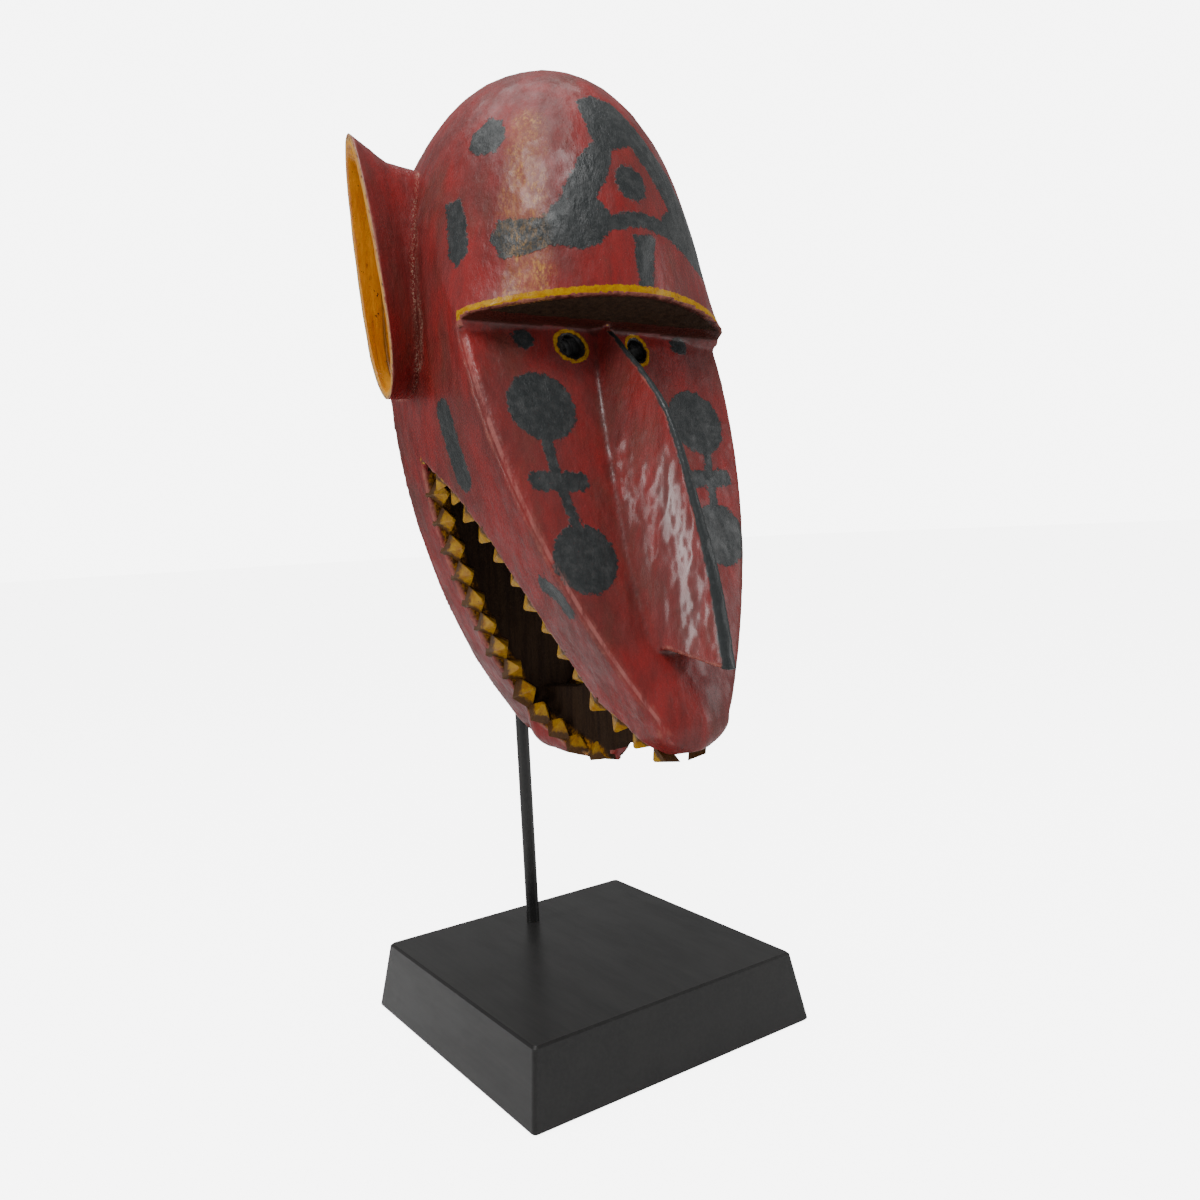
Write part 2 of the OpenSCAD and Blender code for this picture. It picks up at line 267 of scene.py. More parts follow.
NOSE_PATH = [  # base height, crest y, crest height, half-width at the face
    (486, -72, 486, 6), (456, -104, 456, 12.5), (430, -127, 430, 16.5), (402, -141, 402, 20),
    (360, -156, 359, 24.5), (324, -168, 321, 26), (284, -178, 269, 24)]


def crest_half(z):
    """Half-width of the flat crest of the nose."""
    return mix(4.0, 1.5, (z - 284.0) / 202.0)


def crest_line(z):
    """Y and half-width of the nose's crest at each height."""
    rows = NOSE_PATH[::-1]
    heights = [row[2] for row in rows]
    crest = np.interp(z, heights, [row[1] for row in rows])
    return crest, np.interp(z, heights, [crest_half(row[0]) for row in rows])


def smooth_path(points, steps):
    """Catmull-Rom curve through rows of numbers."""
    rows = np.array(points, float)
    ends = np.vstack([2 * rows[0] - rows[1], rows, 2 * rows[-1] - rows[-2]])
    out = []
    for i in range(len(rows) - 1):
        p0, p1, p2, p3 = ends[i:i + 4]
        for k in range(steps):
            t = k / steps
            out.append(0.5 * (2 * p1 + (p2 - p0) * t + (2 * p0 - 5 * p1 + 4 * p2 - p3) * t * t
                              + (3 * p1 - p0 - 3 * p2 + p3) * t ** 3))
    return out + [rows[-1]]


def nose_ring(row):
    """Section of the nose: hollow flanks that sweep up to a narrow flat crest."""
    base_z, crest_y, crest_z, half = row
    base_y = face_y(base_z) - 2.0
    crest = crest_half(base_z)
    right = [(half, base_y + 6.0, base_z)]
    for i in range(13):
        t = i / 12
        x = crest + (half - crest) * ((1.0 - t) ** 1.5 + 0.16 * t * math.sin(math.pi * t))
        right.append((x, mix(base_y, crest_y, t), mix(base_z, crest_z, t)))
    return right + [(-x, y, z) for x, y, z in reversed(right)]


# Lip lines in the side view, as (height, y)
UPPER_LIP = [(203, -126), (216, -126), (222, -122), (230, -112), (238, -101), (248, -89),
             (260, -82), (278, -78), (313, -65), (352, -44), (382, -17), (408, 20)]
LOWER_LIP = [(262, 25), (281, 26), (343, 26), (378, 24), (408, 20)]

# Scoop of the lower jaw: y, half-width at the lip, then lip, underside and floor above the chin
SCOOP = [(40, 14, 43, 8, 45), (18, 25, 31, 2, 41), (6, 22, 23, 1, 36), (-6, 19, 16, 0, 32),
         (-18, 15, 9, 0, 26), (-32, 11, 6, 0, 16), (-48, 6, 4, 0.5, 7), (-60, 2, 3, 1.5, 3.5)]

# Dark bare-wood block between the jaws on the middle line, as (y, height above the chin)
WEB = [(30, 46), (-22, 50), (-60, 70), (-86, 74), (-108, 43),
       (-129, 24), (-118, 20), (-68, 16), (-56, 4), (0, 8)]
WEB_HALF = 7.0


def keel_half(z):
    """Half-width of the lower jaw's back slab where it narrows to a keel."""
    return 0.972 * taper_half(JOIN_Z) * ((z - KEEL_Z) / (JOIN_Z - KEEL_Z)) ** 0.84


def scoop_ring(row, steps=14):
    """Section of the scoop: a round bowl with a raised rough floor between its lips."""
    y, half, lip, under, floor = row
    right = []
    for i in range(steps + 1):
        a = math.pi / 2 * i / steps
        c = max(0.0, math.cos(a))
        right.append((half * c ** 0.8, y, CHIN_Z + mix(lip, under, math.sin(a) ** 0.8)))
    across = (-0.7, -0.45, 0.0, 0.45, 0.7)
    raised = [(f * half, y, CHIN_Z + mix(lip, floor, math.cos(f * 2.2))) for f in across]
    return mirrored(right) + raised


def lip_y(lip, z):
    """Y of a lip line at a height."""
    return float(np.interp(z, [p[0] for p in lip], [p[1] for p in lip]))


# ---------------------------------------------------------------- mesh helpers

def new_object(name, verts, faces, scale=MM):
    """Mesh object from vertices in millimetres."""
    mesh = bpy.data.meshes.new(name)
    mesh.from_pydata([tuple(scale * c for c in v) for v in verts], [], faces)
    mesh.update()
    obj = bpy.data.objects.new(name, mesh)
    bpy.context.scene.collection.objects.link(obj)
    return obj


def fix_normals(obj):
    """Make the faces of a closed mesh point outwards."""
    bm = bmesh.new()
    bm.from_mesh(obj.data)
    bmesh.ops.recalc_face_normals(bm, faces=bm.faces)
    bm.to_mesh(obj.data)
    bm.free()


def skin(name, rings):
    """Closed skin over rings of equal length."""
    n, m = len(rings[0]), len(rings)
    verts = [p for ring in rings for p in ring]
    faces = []
    for j in range(m - 1):
        for i in range(n):
            a, b = j * n + i, j * n + (i + 1) % n
            faces.append((a, b, b + n, a + n))
    faces.append(tuple(reversed(range(n))))
    faces.append(tuple(range((m - 1) * n, m * n)))
    obj = new_object(name, verts, faces)
    fix_normals(obj)
    return obj


def prism(name, profile, half_x):
    """Side-view outline (y, z) drawn out along X."""
    n = len(profile)
    verts = [(-half_x, y, z) for y, z in profile] + [(half_x, y, z) for y, z in profile]
    faces = [(i, (i + 1) % n, (i + 1) % n + n, i + n) for i in range(n)]
    faces += [tuple(reversed(range(n))), tuple(range(n, 2 * n))]
    obj = new_object(name, verts, faces)
    fix_normals(obj)
    return obj


def rod(name, start, end, radius, steps=48):
    """Closed cylinder between two points in millimetres."""
    start, end = Vector(start), Vector(end)
    axis = (end - start).normalized()
    u = axis.orthogonal().normalized()
    v = axis.cross(u)
    rings = []
    for p in (start, end):
        rings.append([tuple(p + radius * (math.cos(a) * u + math.sin(a) * v))
                      for a in (2 * math.pi * i / steps for i in range(steps))])
    return skin(name, rings)


def bake_modifier(obj):
    """Replace the mesh by what its modifiers make."""
    graph = bpy.context.evaluated_depsgraph_get()
    mesh = bpy.data.meshes.new_from_object(obj.evaluated_get(graph))
    obj.modifiers.clear()
    old = obj.data
    obj.data = mesh
    bpy.data.meshes.remove(old)


def carve(obj, tool, operation="DIFFERENCE"):
    """Cut a tool out of obj, or add it, and throw the tool away."""
    step = obj.modifiers.new("carve", "BOOLEAN")
    step.operation = operation
    step.solver = "EXACT"
    step.object = tool
    bake_modifier(obj)
    mesh = tool.data
    bpy.data.objects.remove(tool)
    bpy.data.meshes.remove(mesh)


def remesh(obj, voxel):
    """Even, fine mesh over the whole surface."""
    step = obj.modifiers.new("remesh", "REMESH")
    step.mode = "VOXEL"
    step.voxel_size = voxel
    step.adaptivity = 0.0
    bake_modifier(obj)


def read_points(mesh):
    """Vertex positions in millimetres."""
    data = np.empty(len(mesh.vertices) * 3, np.float32)
    mesh.vertices.foreach_get("co", data)
    return data.reshape(-1, 3).astype(float) / MM


def write_points(mesh, points):
    """Set vertex positions from millimetres."""
    mesh.vertices.foreach_set("co", (points * MM).astype(np.float32).ravel())
    mesh.update()


def relax(obj, rounds, strength=0.5):
    """Even out the surface by moving each vertex towards its neighbours."""
    mesh = obj.data
    points = read_points(mesh)
    ends = np.empty(len(mesh.edges) * 2, np.int32)
    mesh.edges.foreach_get("vertices", ends)
    a, b = ends.reshape(-1, 2).T
    degree = np.bincount(a, minlength=len(points)) + np.bincount(b, minlength=len(points))
    for _ in range(rounds):
        total = np.zeros_like(points)
        for k in range(3):
            total[:, k] = (np.bincount(a, points[b, k], len(points))
                           + np.bincount(b, points[a, k], len(points)))
        points += strength * (total / degree[:, None] - points)
    write_points(mesh, points)


def shade_smooth(obj):
    """Smooth shading on every face."""
    obj.data.polygons.foreach_set("use_smooth", np.ones(len(obj.data.polygons), bool))
    obj.data.update()


# ---------------------------------------------------------------- the carved head

def brow_undercut():
    """Wedge under the brow, whose lower edge rises towards the middle."""
    reach = 80.0
    top, below = BROW_EDGE_Z + BROW_RISE * reach, BROW_Z - 30.0
    return prism("brow_undercut", [
        (BROW_EDGE_Y, below), (BROW_EDGE_Y, BROW_EDGE_Z),
        (BROW_EDGE_Y - reach, top), (BROW_EDGE_Y - reach, below)], CUTTER_HALF)


def mouth_cutter():
    """Everything between the lips, and the block that the lower jaw fills again."""
    upper = [(y, z) for z, y in UPPER_LIP]
    lower = [(y, z) for z, y in reversed(LOWER_LIP[:-1])]
    below = CHIN_Z - 40.0
    rest = [(RIM_Y + 10.0, JOIN_Z), (RIM_Y + 10.0, below), (UPPER_LIP[0][1], below)]
    return prism("mouth_cutter", upper + lower + rest, CUTTER_HALF)


def lower_jaw():
    """Keel and scoop of the lower jaw as one closed mesh."""
    rings = []
    for i in range(31):
        z = mix(KEEL_Z + 0.3, JOIN_Z + 1.0, i / 30)
        half = keel_half(z)
        front = 1.01 * half
        rings.append([(half, RIM_Y, z), (front, SLAB_Y, z), (-front, SLAB_Y, z), (-half, RIM_Y, z)])
    jaw = skin("jaw_keel", rings)
    carve(jaw, skin("jaw_scoop", [scoop_ring(row) for row in smooth_path(SCOOP, 6)]), "UNION")
    return jaw


def carve_head(settings):
    """The head as one closed mesh."""
    levels = [BROW_Z + DOME_H * 0.9995 * math.sin(math.pi / 2 * i / 70) for i in range(71)]
    skirt = [(x, y, BROW_Z - 8.0) for x, y, _ in dome_ring(BROW_Z)]
    head = skin("carved_head", [skirt] + [dome_ring(z) for z in levels])
    carve(head, brow_undercut())
    steps = 90
    rings = []
    for i in range(steps + 1):
        f = i / steps
        rings.append(muzzle_ring(mix(SNOUT_Z + 0.3, BROW_Z - 3.2, f * (f + 0.12) / 1.12)))
    carve(head, skin("muzzle", rings), "UNION")
    nose = [nose_ring(row) for row in smooth_path(NOSE_PATH, 10)]
    carve(head, skin("nose", nose), "UNION")
    carve(head, skin("hollow", [hollow_ring(mix(HOLLOW_FLOOR, HOLLOW_ROOF, i / 60)) for i in range(61)]))
    carve(head, mouth_cutter())
    carve(head, lower_jaw(), "UNION")
    carve(head, prism("jaw_web", [(y, CHIN_Z + z) for y, z in WEB], WEB_HALF), "UNION")
    for side in (-1, 1):
        x = side * EYE_X
        carve(head, rod("eye", (x, -100.0, EYE_Z), (x, -20.0, EYE_Z), EYE_R))
    remesh(head, settings.voxel)
    relax(head, 2)
    return head


# ---------------------------------------------------------------- tool marks

def lattice_hash(i, j, k, salt):
    """Repeatable numbers from 0 to 1 for cells of a lattice."""
    h = (i * 73856093) ^ (j * 19349663) ^ (k * 83492791) ^ (salt * 2654435761)
    h = (h ^ (h >> 13)) * 1274126177
    return ((h ^ (h >> 16)) & 0xFFFFFF) / float(0x1000000)


def scallops(points, cell, salt):
    """Shallow dents side by side: 0 in the middle of a dent, rising to about 1 on its ridges."""
    q = points / np.array(cell)
    base = np.floor(q).astype(np.int64)
    nearest = np.full(len(points), 9.0)
    for di in (-1, 0, 1):
        for dj in (-1, 0, 1):
            for dk in (-1, 0, 1):
                i, j, k = base[:, 0] + di, base[:, 1] + dj, base[:, 2] + dk
                d = (i + lattice_hash(i, j, k, salt) - q[:, 0]) ** 2
                d += (j + lattice_hash(i, j, k, salt + 1) - q[:, 1]) ** 2
                d += (k + lattice_hash(i, j, k, salt + 2) - q[:, 2]) ** 2
                nearest = np.minimum(nearest, d)
    return np.minimum(nearest, 1.0)


def vertex_normals(mesh):
    """Unit normal of each vertex."""
    data = np.empty(len(mesh.vertices) * 3, np.float32)
    mesh.vertices.foreach_get("normal", data)
    return data.reshape(-1, 3).astype(float)


def tool_marks(obj, painted_depth, bare_depth, bare):
    """Press the blade's scallops into the surface; bare, unseen wood was left rougher."""
    mesh = obj.data
    points = read_points(mesh)
    light = scallops(points, (11.0, 11.0, 19.0), 1) + 0.5 * scallops(points, (5.0, 5.0, 8.0), 5)
    heavy = scallops(points, (10.0, 13.0, 24.0), 9)
    depth = painted_depth * (light - 0.7) * (1.0 - bare) + bare_depth * (heavy - 0.5) * bare
    write_points(mesh, points + vertex_normals(mesh) * depth[:, None])


def surface_convexity(mesh, rounds):
    """How convex the surface is at each vertex, spread over a few neighbours."""
    points = read_points(mesh)
    ends = np.empty(len(mesh.edges) * 2, np.int32)
    mesh.edges.foreach_get("vertices", ends)
    a, b = ends.reshape(-1, 2).T
    degree = np.maximum(np.bincount(a, minlength=len(points)) + np.bincount(b, minlength=len(points)), 1)

    def average(values):
        return (np.bincount(a, values[b], len(values)) + np.bincount(b, values[a], len(values))) / degree

    centre = np.stack([average(points[:, k]) for k in range(3)], 1)
    bend = ((points - centre) * vertex_normals(mesh)).sum(1)
    for _ in range(rounds):
        bend = average(bend)
    return bend


def store(mesh, name, values):
    """Keep one number for each vertex for the paint to read."""
    layer = mesh.attributes.new(name, "FLOAT", "POINT")
    layer.data.foreach_set("value", np.asarray(values, np.float32))


# ---------------------------------------------------------------- painted shapes on the head

FAR = -99.0
ARC_MM = 1.83  # millimetres of forehead for one degree round it

# Outlines on the forehead as (degrees from the middle line, height)
FIGURE = [(-4, 632), (-13, 626), (-12, 610), (-11, 595), (-17, 584), (-22, 568), (-25, 556), (-31, 545),
          (-44, 546), (-47, 534), (-43, 521), (-36, 522), (-28, 528), (-19, 525), (-14, 528), (-9, 537),
          (0, 541), (12, 538), (20, 532), (30, 524), (44, 518), (50, 530), (46, 546), (38, 556),
          (32, 570), (26, 586), (18, 600), (12, 614), (6, 628)]
FIGURE_WINDOW = [(-4, 591), (4, 595), (10, 578), (16, 558), (10, 549),
                 (0, 551), (-9, 547), (-13, 557), (-8, 573)]
DROP = [(-58, 598), (-57, 608), (-50, 618), (-44, 614), (-42, 602), (-46, 592), (-53, 591)]
TEMPLE_BAR = [(-65, 563), (-58, 565), (-55, 545), (-54, 528), (-58, 520), (-61, 526), (-63, 545)]
BROW_SMEAR = [(-3, 537), (7, 538), (5, 520), (4, 503), (-2, 503), (-3, 520)]
GOLD_STREAK = [(-34, 606), (-35, 575), (-37, 545), (-35, 515), (-36, 496)]

# Where the ear's root meets the side of the head, as (y, height)
EAR_ROOT = [(42, 601), (26, 594), (15, 580), (6, 564), (0, 549), (-4, 523), (-8, 496), (-3, 472),
            (14, 456), (29, 453), (44, 453), (51, 475), (53, 525), (51, 575)]


def line_distance(u, v, line):
    """Distance to a broken line in a plane."""
    best = np.full(len(u), 1e6)
    for (u0, v0), (u1, v1) in zip(line, line[1:]):
        du, dv = u1 - u0, v1 - v0
        t = np.clip(((u - u0) * du + (v - v0) * dv) / (du * du + dv * dv), 0.0, 1.0)
        best = np.minimum(best, np.hypot(u - u0 - t * du, v - v0 - t * dv))
    return best


def patch(u, v, outline):
    """Depth inside a closed outline, negative outside."""
    closed = list(outline) + [outline[0]]
    inside = np.zeros(len(u), bool)
    for (u0, v0), (u1, v1) in zip(closed, closed[1:]):
        if v0 != v1:
            crosses = (v0 > v) != (v1 > v)
            inside ^= crosses & (u < u0 + (v - v0) / (v1 - v0) * (u1 - u0))
    return np.where(inside, 1.0, -1.0) * line_distance(u, v, closed)


def arc_scaled(outline):
    """Forehead outline with degrees turned into millimetres."""
    return [(deg * ARC_MM, z) for deg, z in outline]


def oval(u, v, middle, radii):
    """Depth inside an oval."""
    return (1.0 - np.hypot((u - middle[0]) / radii[0], (v - middle[1]) / radii[1])) * min(radii)


def forehead_marks(x, y, z):
    """Black figure, drop, bar and smear on the forehead."""
    arc = np.degrees(np.arctan2(x, -(y - CROWN_Y))) * ARC_MM
    figure = patch(arc, z, arc_scaled(FIGURE))
    figure = np.minimum(figure, -patch(arc, z, arc_scaled(FIGURE_WINDOW)))
    marks = np.maximum(figure, oval(arc, z, (0.0, 569.0), (10.5, 12.0)))
    for sign in (1.0, -1.0):
        marks = np.maximum(marks, patch(sign * arc, z, arc_scaled(DROP)))
        marks = np.maximum(marks, patch(sign * arc, z, arc_scaled(TEMPLE_BAR)))
    marks = np.maximum(marks, patch(arc, z, arc_scaled(BROW_SMEAR)) - 1.0)
    return np.where(z > BROW_Z - 2.0, marks, FAR)


def plate_marks(u, z, upper, lower, bar):
    """Two discs with a stem and a crossbar between them."""
    marks = np.maximum(oval(u, z, upper, (23.5, 22.0)), oval(u, z, lower, (21.5, 21.0)))
    stem = [(upper[0] + 3, upper[1] - 16), (bar[0] + 1, 386), (lower[0], lower[1] + 16)]
    marks = np.maximum(marks, 3.7 - line_distance(u, z, stem))
    return np.maximum(marks, 6.0 - line_distance(u, z, [(bar[0] - 14, 385.5), (bar[0] + 15, 386.5)]))


def face_marks(x, y, z):
    """Black marks on each side of the face plate, and a bar on each cheek."""
    near = plate_marks(-x, z, (59.0, 433.0), (54.0, 338.0), (59.0, 386.0))
    far = plate_marks(x, z, (62.0, 425.0), (57.0, 348.0), (60.0, 387.0))
    plate = np.where(x < 0.0, near, far)
    plate = np.maximum(plate, oval(x, z, (-61.0, 477.0), (7.5, 6.5)))
    plate = np.maximum(plate, oval(x, z, (65.0, 480.0), (7.5, 6.5)))
    plate = np.where((y < -55.0) & (z < FACE_TOP_Z + 8.0), plate, FAR)
    side = np.abs(x)
    smear = 5.5 - line_distance(y, z, [(-92, 324), (-103, 318), (-108, 308)])
    smear = np.where((side > 55.0) & (x < 0.0), smear, FAR)
    cheek = 9.5 - line_distance(y, z, [(-26, 434), (-30, 415), (-35, 393)])
    cheek = np.where((side > 75.0) & (z < BROW_Z), cheek, FAR)
    return np.maximum(np.maximum(plate, smear), cheek)


def crest_depth(x, y, z):
    """Distance inside the nose's crest, seen from the front; negative on the flanks."""
    crest, half = crest_line(z)
    spill = np.interp(z, [280.0, 420.0], [1.0, 0.4])
    inside = np.minimum(half + np.where(x < 0.0, spill, 0.6) - np.abs(x), 6.0 - (y - crest))
    return np.where((z < 484.0) & (z > 268.0), inside, FAR)


def nose_polish(x, y, z):
    """1 on the worn and shining strip beside the crest of the nose, fading to 0 around it."""
    crest, half = crest_line(z)
    beside = np.abs(x) - half
    strip = np.clip(1.0 - np.abs(beside - 5.5) / 5.0, 0.0, 1.0)
    along = np.interp(z, [275.0, 300.0, 385.0, 440.0], [0.7, 1.0, 1.0, 0.0])
    return np.where((y - crest < 45.0) & (z < 445.0) & (z > 262.0), strip * along, 0.0)


def plate_border(x, y, z):
    """Distance from the outer edge of the narrow bevel round the face plate, along which a thin painted
    highlight runs.
    """
    heights = np.linspace(SNOUT_Z, FACE_TOP_Z, 60)
    half = np.interp(z, heights, [jaw_half(h) for h in heights])
    plate = np.interp(z, heights, [face_y(h) for h in heights])
    edge = np.hypot(np.abs(x) - half + 0.6 * CHAMFER, y - plate - 0.4 * CHAMFER)
    return np.where((z < FACE_TOP_Z - 4.0) & (z > SNOUT_Z + 6.0), edge, -FAR)


def gum_distance(x, y, z):
    """Distance to the foot of the lower teeth."""
    feet = np.array(lower_row())
    steps = np.concatenate([np.linspace(a, b, 5)[:-1] for a, b in zip(feet, feet[1:])])
    side = np.abs(x)
    near = np.flatnonzero((z < 412.0) & (y > -60.0) & (y < 42.0))
    best = np.full(len(x), -FAR)
    for px, py, pz in steps:
        gap = np.sqrt((side[near] - px) ** 2 + (y[near] - py) ** 2 + (z[near] - pz) ** 2)
        best[near] = np.minimum(best[near], gap)
    return best


def brow_edge(y):
    """Height of the brow's lower edge."""
    return BROW_EDGE_Z + BROW_RISE * (BROW_EDGE_Y - y)


def eye_reach(x, z):
    """Distance from the middle of each eye; the right eye is a wide oval, the left a narrow one."""
    return np.hypot((np.abs(x) - EYE_X) / np.where(x < 0.0, 1.15, 0.86), z - EYE_Z)


def yellow_lines(x, y, z, down):
    """Yellow line along the brow's edge and a thin ring round each eye."""
    brow = 3.0 - np.abs(z - brow_edge(y) - 2.4)
    brow = np.where((y < -FACE_Y0 + 3.0) & (down > -0.55), brow, FAR)
    reach = eye_reach(x, z)
    ring = 1.15 - np.abs(reach - 10.3)
    ring = np.where((y < -52.0) & (z < FACE_TOP_Z + 8.0) & (down > -0.6), ring, FAR)
    return np.maximum(brow, ring)


def eye_sockets(x, y, z):
    """Black painted margin and inside of each eye."""
    reach = eye_reach(x, z)
    return np.where((y < -36.0) & (z < FACE_TOP_Z + 8.0) & (z > 440.0), 9.3 - reach, FAR)


def bare_wood(x, y, z):
    """1 on the hollow, the back and the inside of the mouth, 0 on painted wood."""
    side = np.abs(x)
    heights = np.linspace(BROW_Z, HOLLOW_ROOF + 4.0, 60)
    half = np.interp(z, heights, [dome_half(h, 0.0) for h in heights])
    front = np.interp(z, heights, [dome_front(h) for h in heights])
    waist = np.interp(z, heights, [dome_side_y(h) for h in heights])
    power = np.interp(z, heights, [mix(1.67, 2.0, dome_t(h)) for h in heights])
    ahead = np.clip((waist - y) / np.maximum(waist - front, 1.0), 0.0, None)
    outward = (np.clip(side / np.maximum(half, 1.0), 0.0, None) ** power + ahead ** power) ** (1.0 / power)
    dome = (z > BROW_Z) & (z < HOLLOW_ROOF + 3.0) & (outward < 0.93)
    jaw_heights = np.linspace(SNOUT_Z, FACE_TOP_Z, 60)
    jaw = np.interp(z, jaw_heights, [jaw_half(h) for h in jaw_heights])
    face = (z > HOLLOW_FLOOR - 4.0) & (z <= BROW_Z) & (side < jaw - 6.0) & (y > HOLLOW_Y - 3.0)
    hollow = (dome | face) & (y < RIM_Y + 1.0)
    upper = np.interp(z, [p[0] for p in UPPER_LIP], [p[1] for p in UPPER_LIP])
    lower = np.interp(z, [p[0] for p in LOWER_LIP], [p[1] for p in LOWER_LIP])
    mouth = (z < 407.0) & (z > JOIN_Z) & (y > upper - 2.5) & (y < lower + 2.5) & (side < jaw - 5.0)
    rows = sorted(SCOOP)
    lip = CHIN_Z + np.interp(y, [r[0] for r in rows], [r[2] for r in rows])
    bowl = np.interp(y, [r[0] for r in rows], [r[1] for r in rows])
    inner = np.maximum(bowl, jaw * (y > 20)) - 4.0
    scoop = (z < JOIN_Z + 1.0) & (y > -56.0) & (y < SLAB_Y + 2.5) & (side < inner)
    scoop &= z > lip - 3.0
    roof = (z < JOIN_Z + 1.0) & (y > upper - 2.5) & (y < -60.0) & (side < jaw - 4.0) & (z > SNOUT_Z - 12.0)
    web = (side < WEB_HALF + 1.0) & (y > upper - 2.0) & (y < SLAB_Y + 2.5) & (z < JOIN_Z + 14.0)
    web &= np.where(y > -58.0, z > lip - 3.0, z > CHIN_Z + 10.0)
    back = y > RIM_Y - 1.0
    return (hollow | mouth | scoop | roof | web | back).astype(float)


def lip_distance(x, y, z):
    """Distance to the upper lip's edge, seen from the side."""
    line = [(y0, z0) for z0, y0 in UPPER_LIP]
    return np.where(np.abs(x) > 8.0, line_distance(y, z, line), -FAR)


def paint_head(head):
    """Store where each colour goes on the head."""
    mesh = head.data
    x, y, z = read_points(mesh).T
    down = vertex_normals(mesh)[:, 2]
    marks = np.maximum(forehead_marks(x, y, z), face_marks(x, y, z))
    arc = np.degrees(np.arctan2(x, -(y - CROWN_Y))) * ARC_MM
    gold = 15.0 - line_distance(arc, z, arc_scaled(GOLD_STREAK))
    root = np.abs(patch(y, z, EAR_ROOT))
    # Downward-facing faces just under the brow's edge; the paint darkens them as painted shade.
    under = (down < -0.6) & (y < -FACE_Y0 + 2.0) & (np.abs(z - brow_edge(y)) < 5.0)
    store(mesh, "marks", marks)
    crest = crest_depth(x, y, z)
    store(mesh, "crest", crest)
    store(mesh, "crest_rim", np.where(x > 0.5, crest, FAR))
    store(mesh, "polish", nose_polish(x, y, z))
    # Where the painted highlight line along the plate's bevel goes.
    store(mesh, "bevel_highlight", plate_border(x, y, z))
    store(mesh, "gum", gum_distance(x, y, z))
    store(mesh, "socket", eye_sockets(x, y, z))
    store(mesh, "yellow", yellow_lines(x, y, z, down))
    store(mesh, "under_brow", under)
    store(mesh, "gold", np.where(z > BROW_Z, gold, FAR))
    store(mesh, "bare", bare_wood(x, y, z))
    store(mesh, "dust", np.where((np.abs(x) > 70.0) & (y > -20.0), root, -FAR))
    store(mesh, "lip", lip_distance(x, y, z))
    store(mesh, "convexity", surface_convexity(mesh, 2))


# ---------------------------------------------------------------- ears

def leaf_half(s):
    """Half-width of a leaf, round below and bluntly pointed above."""
    if s < 0.3:
        return math.sqrt(max(0.0, 1.0 - (1.0 - s / 0.3) ** 2))
    return max(0.0, math.cos(math.pi / 2 * (s - 0.3) / 0.7)) ** 0.42


def leaf(half, y_ends, z_ends, x_ends, steps=144):
    """Closed leaf outline as (x, y, z) points; each pair is the value at the bottom and at the tip."""
    ring = []
    for i in range(steps):
        up = i <= steps // 2
        s = (1.0 - math.cos(2 * math.pi * (i if up else steps - i) / steps)) / 2
        d = (1 if up else -1) * half * leaf_half(s)
        ring.append((mix(*x_ends, s), mix(*y_ends, s) + d, mix(*z_ends, s)))
    return ring


def wall_middle(z):
    """X of the middle of the head's side wall."""
    return (jaw_half(z) if z < BROW_Z else dome_half(z, 0.0)) - WALL / 2


def blend_rings(a, b, steps):
    """Rings in between two rings, the first one included."""
    out = []
    for k in range(steps):
        t = k / steps
        out.append([tuple(mix(p, q, t) for p, q in zip(u, v)) for u, v in zip(a, b)])
    return out


def carve_ear(name, side, settings, head_tree):
    """One trumpet ear with a cup, as a closed mesh."""
    t = settings.ear_wall / MM
    root = [(wall_middle(z), y, z) for _, y, z in leaf(26.0, (26.0, 26.0), (450.0, 602.0), (0.0, 0.0))]
    waist = leaf(23.0, (18.0, 24.0), (449.0, 605.0), (108.0, 108.0))
    reach = (125.0, 135.0) if side < 0 else (123.0, 129.0)
    rim = leaf(19.5, (3.0, 17.0), (446.0, 617.0), reach)
    lip = leaf(19.5 - t, (3.0, 17.0), (446.0 + t, 617.0 - 2 * t), reach)
    throat = leaf(15.0, (12.0, 20.0), (455.0, 596.0), (119.0, 121.0))
    cup = leaf(12.0, (20.0, 22.0), (462.0, 570.0), (111.0, 111.0))
    floor = leaf(4.0, (21.0, 21.0), (500.0, 530.0), (110.0, 110.0))
    outer = blend_rings(root, waist, 18) + blend_rings(waist, rim, 16)
    inner = blend_rings(rim, lip, 5) + blend_rings(lip, throat, 8) + blend_rings(throat, cup, 8)
    inner += blend_rings(cup, floor, 6) + [floor]
    rings = outer + inner
    rings = [[(side * x, y, z) for x, y, z in ring] for ring in rings]
    ear = skin(name, rings)
    relax(ear, 1, 0.4)
    mesh = ear.data
    points = read_points(mesh)
    count = len(rings[0])
    place = np.arange(len(points)) // count
    cup_side = np.clip((place - len(outer) - 1.5) / 1.0, 0.0, 1.0)
    tool_marks(ear, settings.adze / MM, settings.adze / MM, np.zeros(len(points)))
    root_gap = [head_tree.find_nearest(Vector(p * MM))[3] / MM for p in points]
    store(mesh, "cup", cup_side)
    store(mesh, "dust", root_gap)
    store(mesh, "rim", np.abs(place - len(outer) - 1.5) * 1.1)
    store(mesh, "convexity", surface_convexity(mesh, 1))
    shade_smooth(ear)
    return ear


# ---------------------------------------------------------------- teeth

def upper_row():
    """Line of the upper teeth on the +X side, from the corner of the mouth to the snout."""
    line = []
    for z in range(402, 222, -4):
        y = lip_y(UPPER_LIP, z)
        line.append((jaw_half(z + snout_drop(y, z)) - 6.2, y - 0.5, z))
    return line + [(17.0, -125.0, 217.0), (10.0, -126.0, 212.0), (5.0, -126.0, 209.0)]


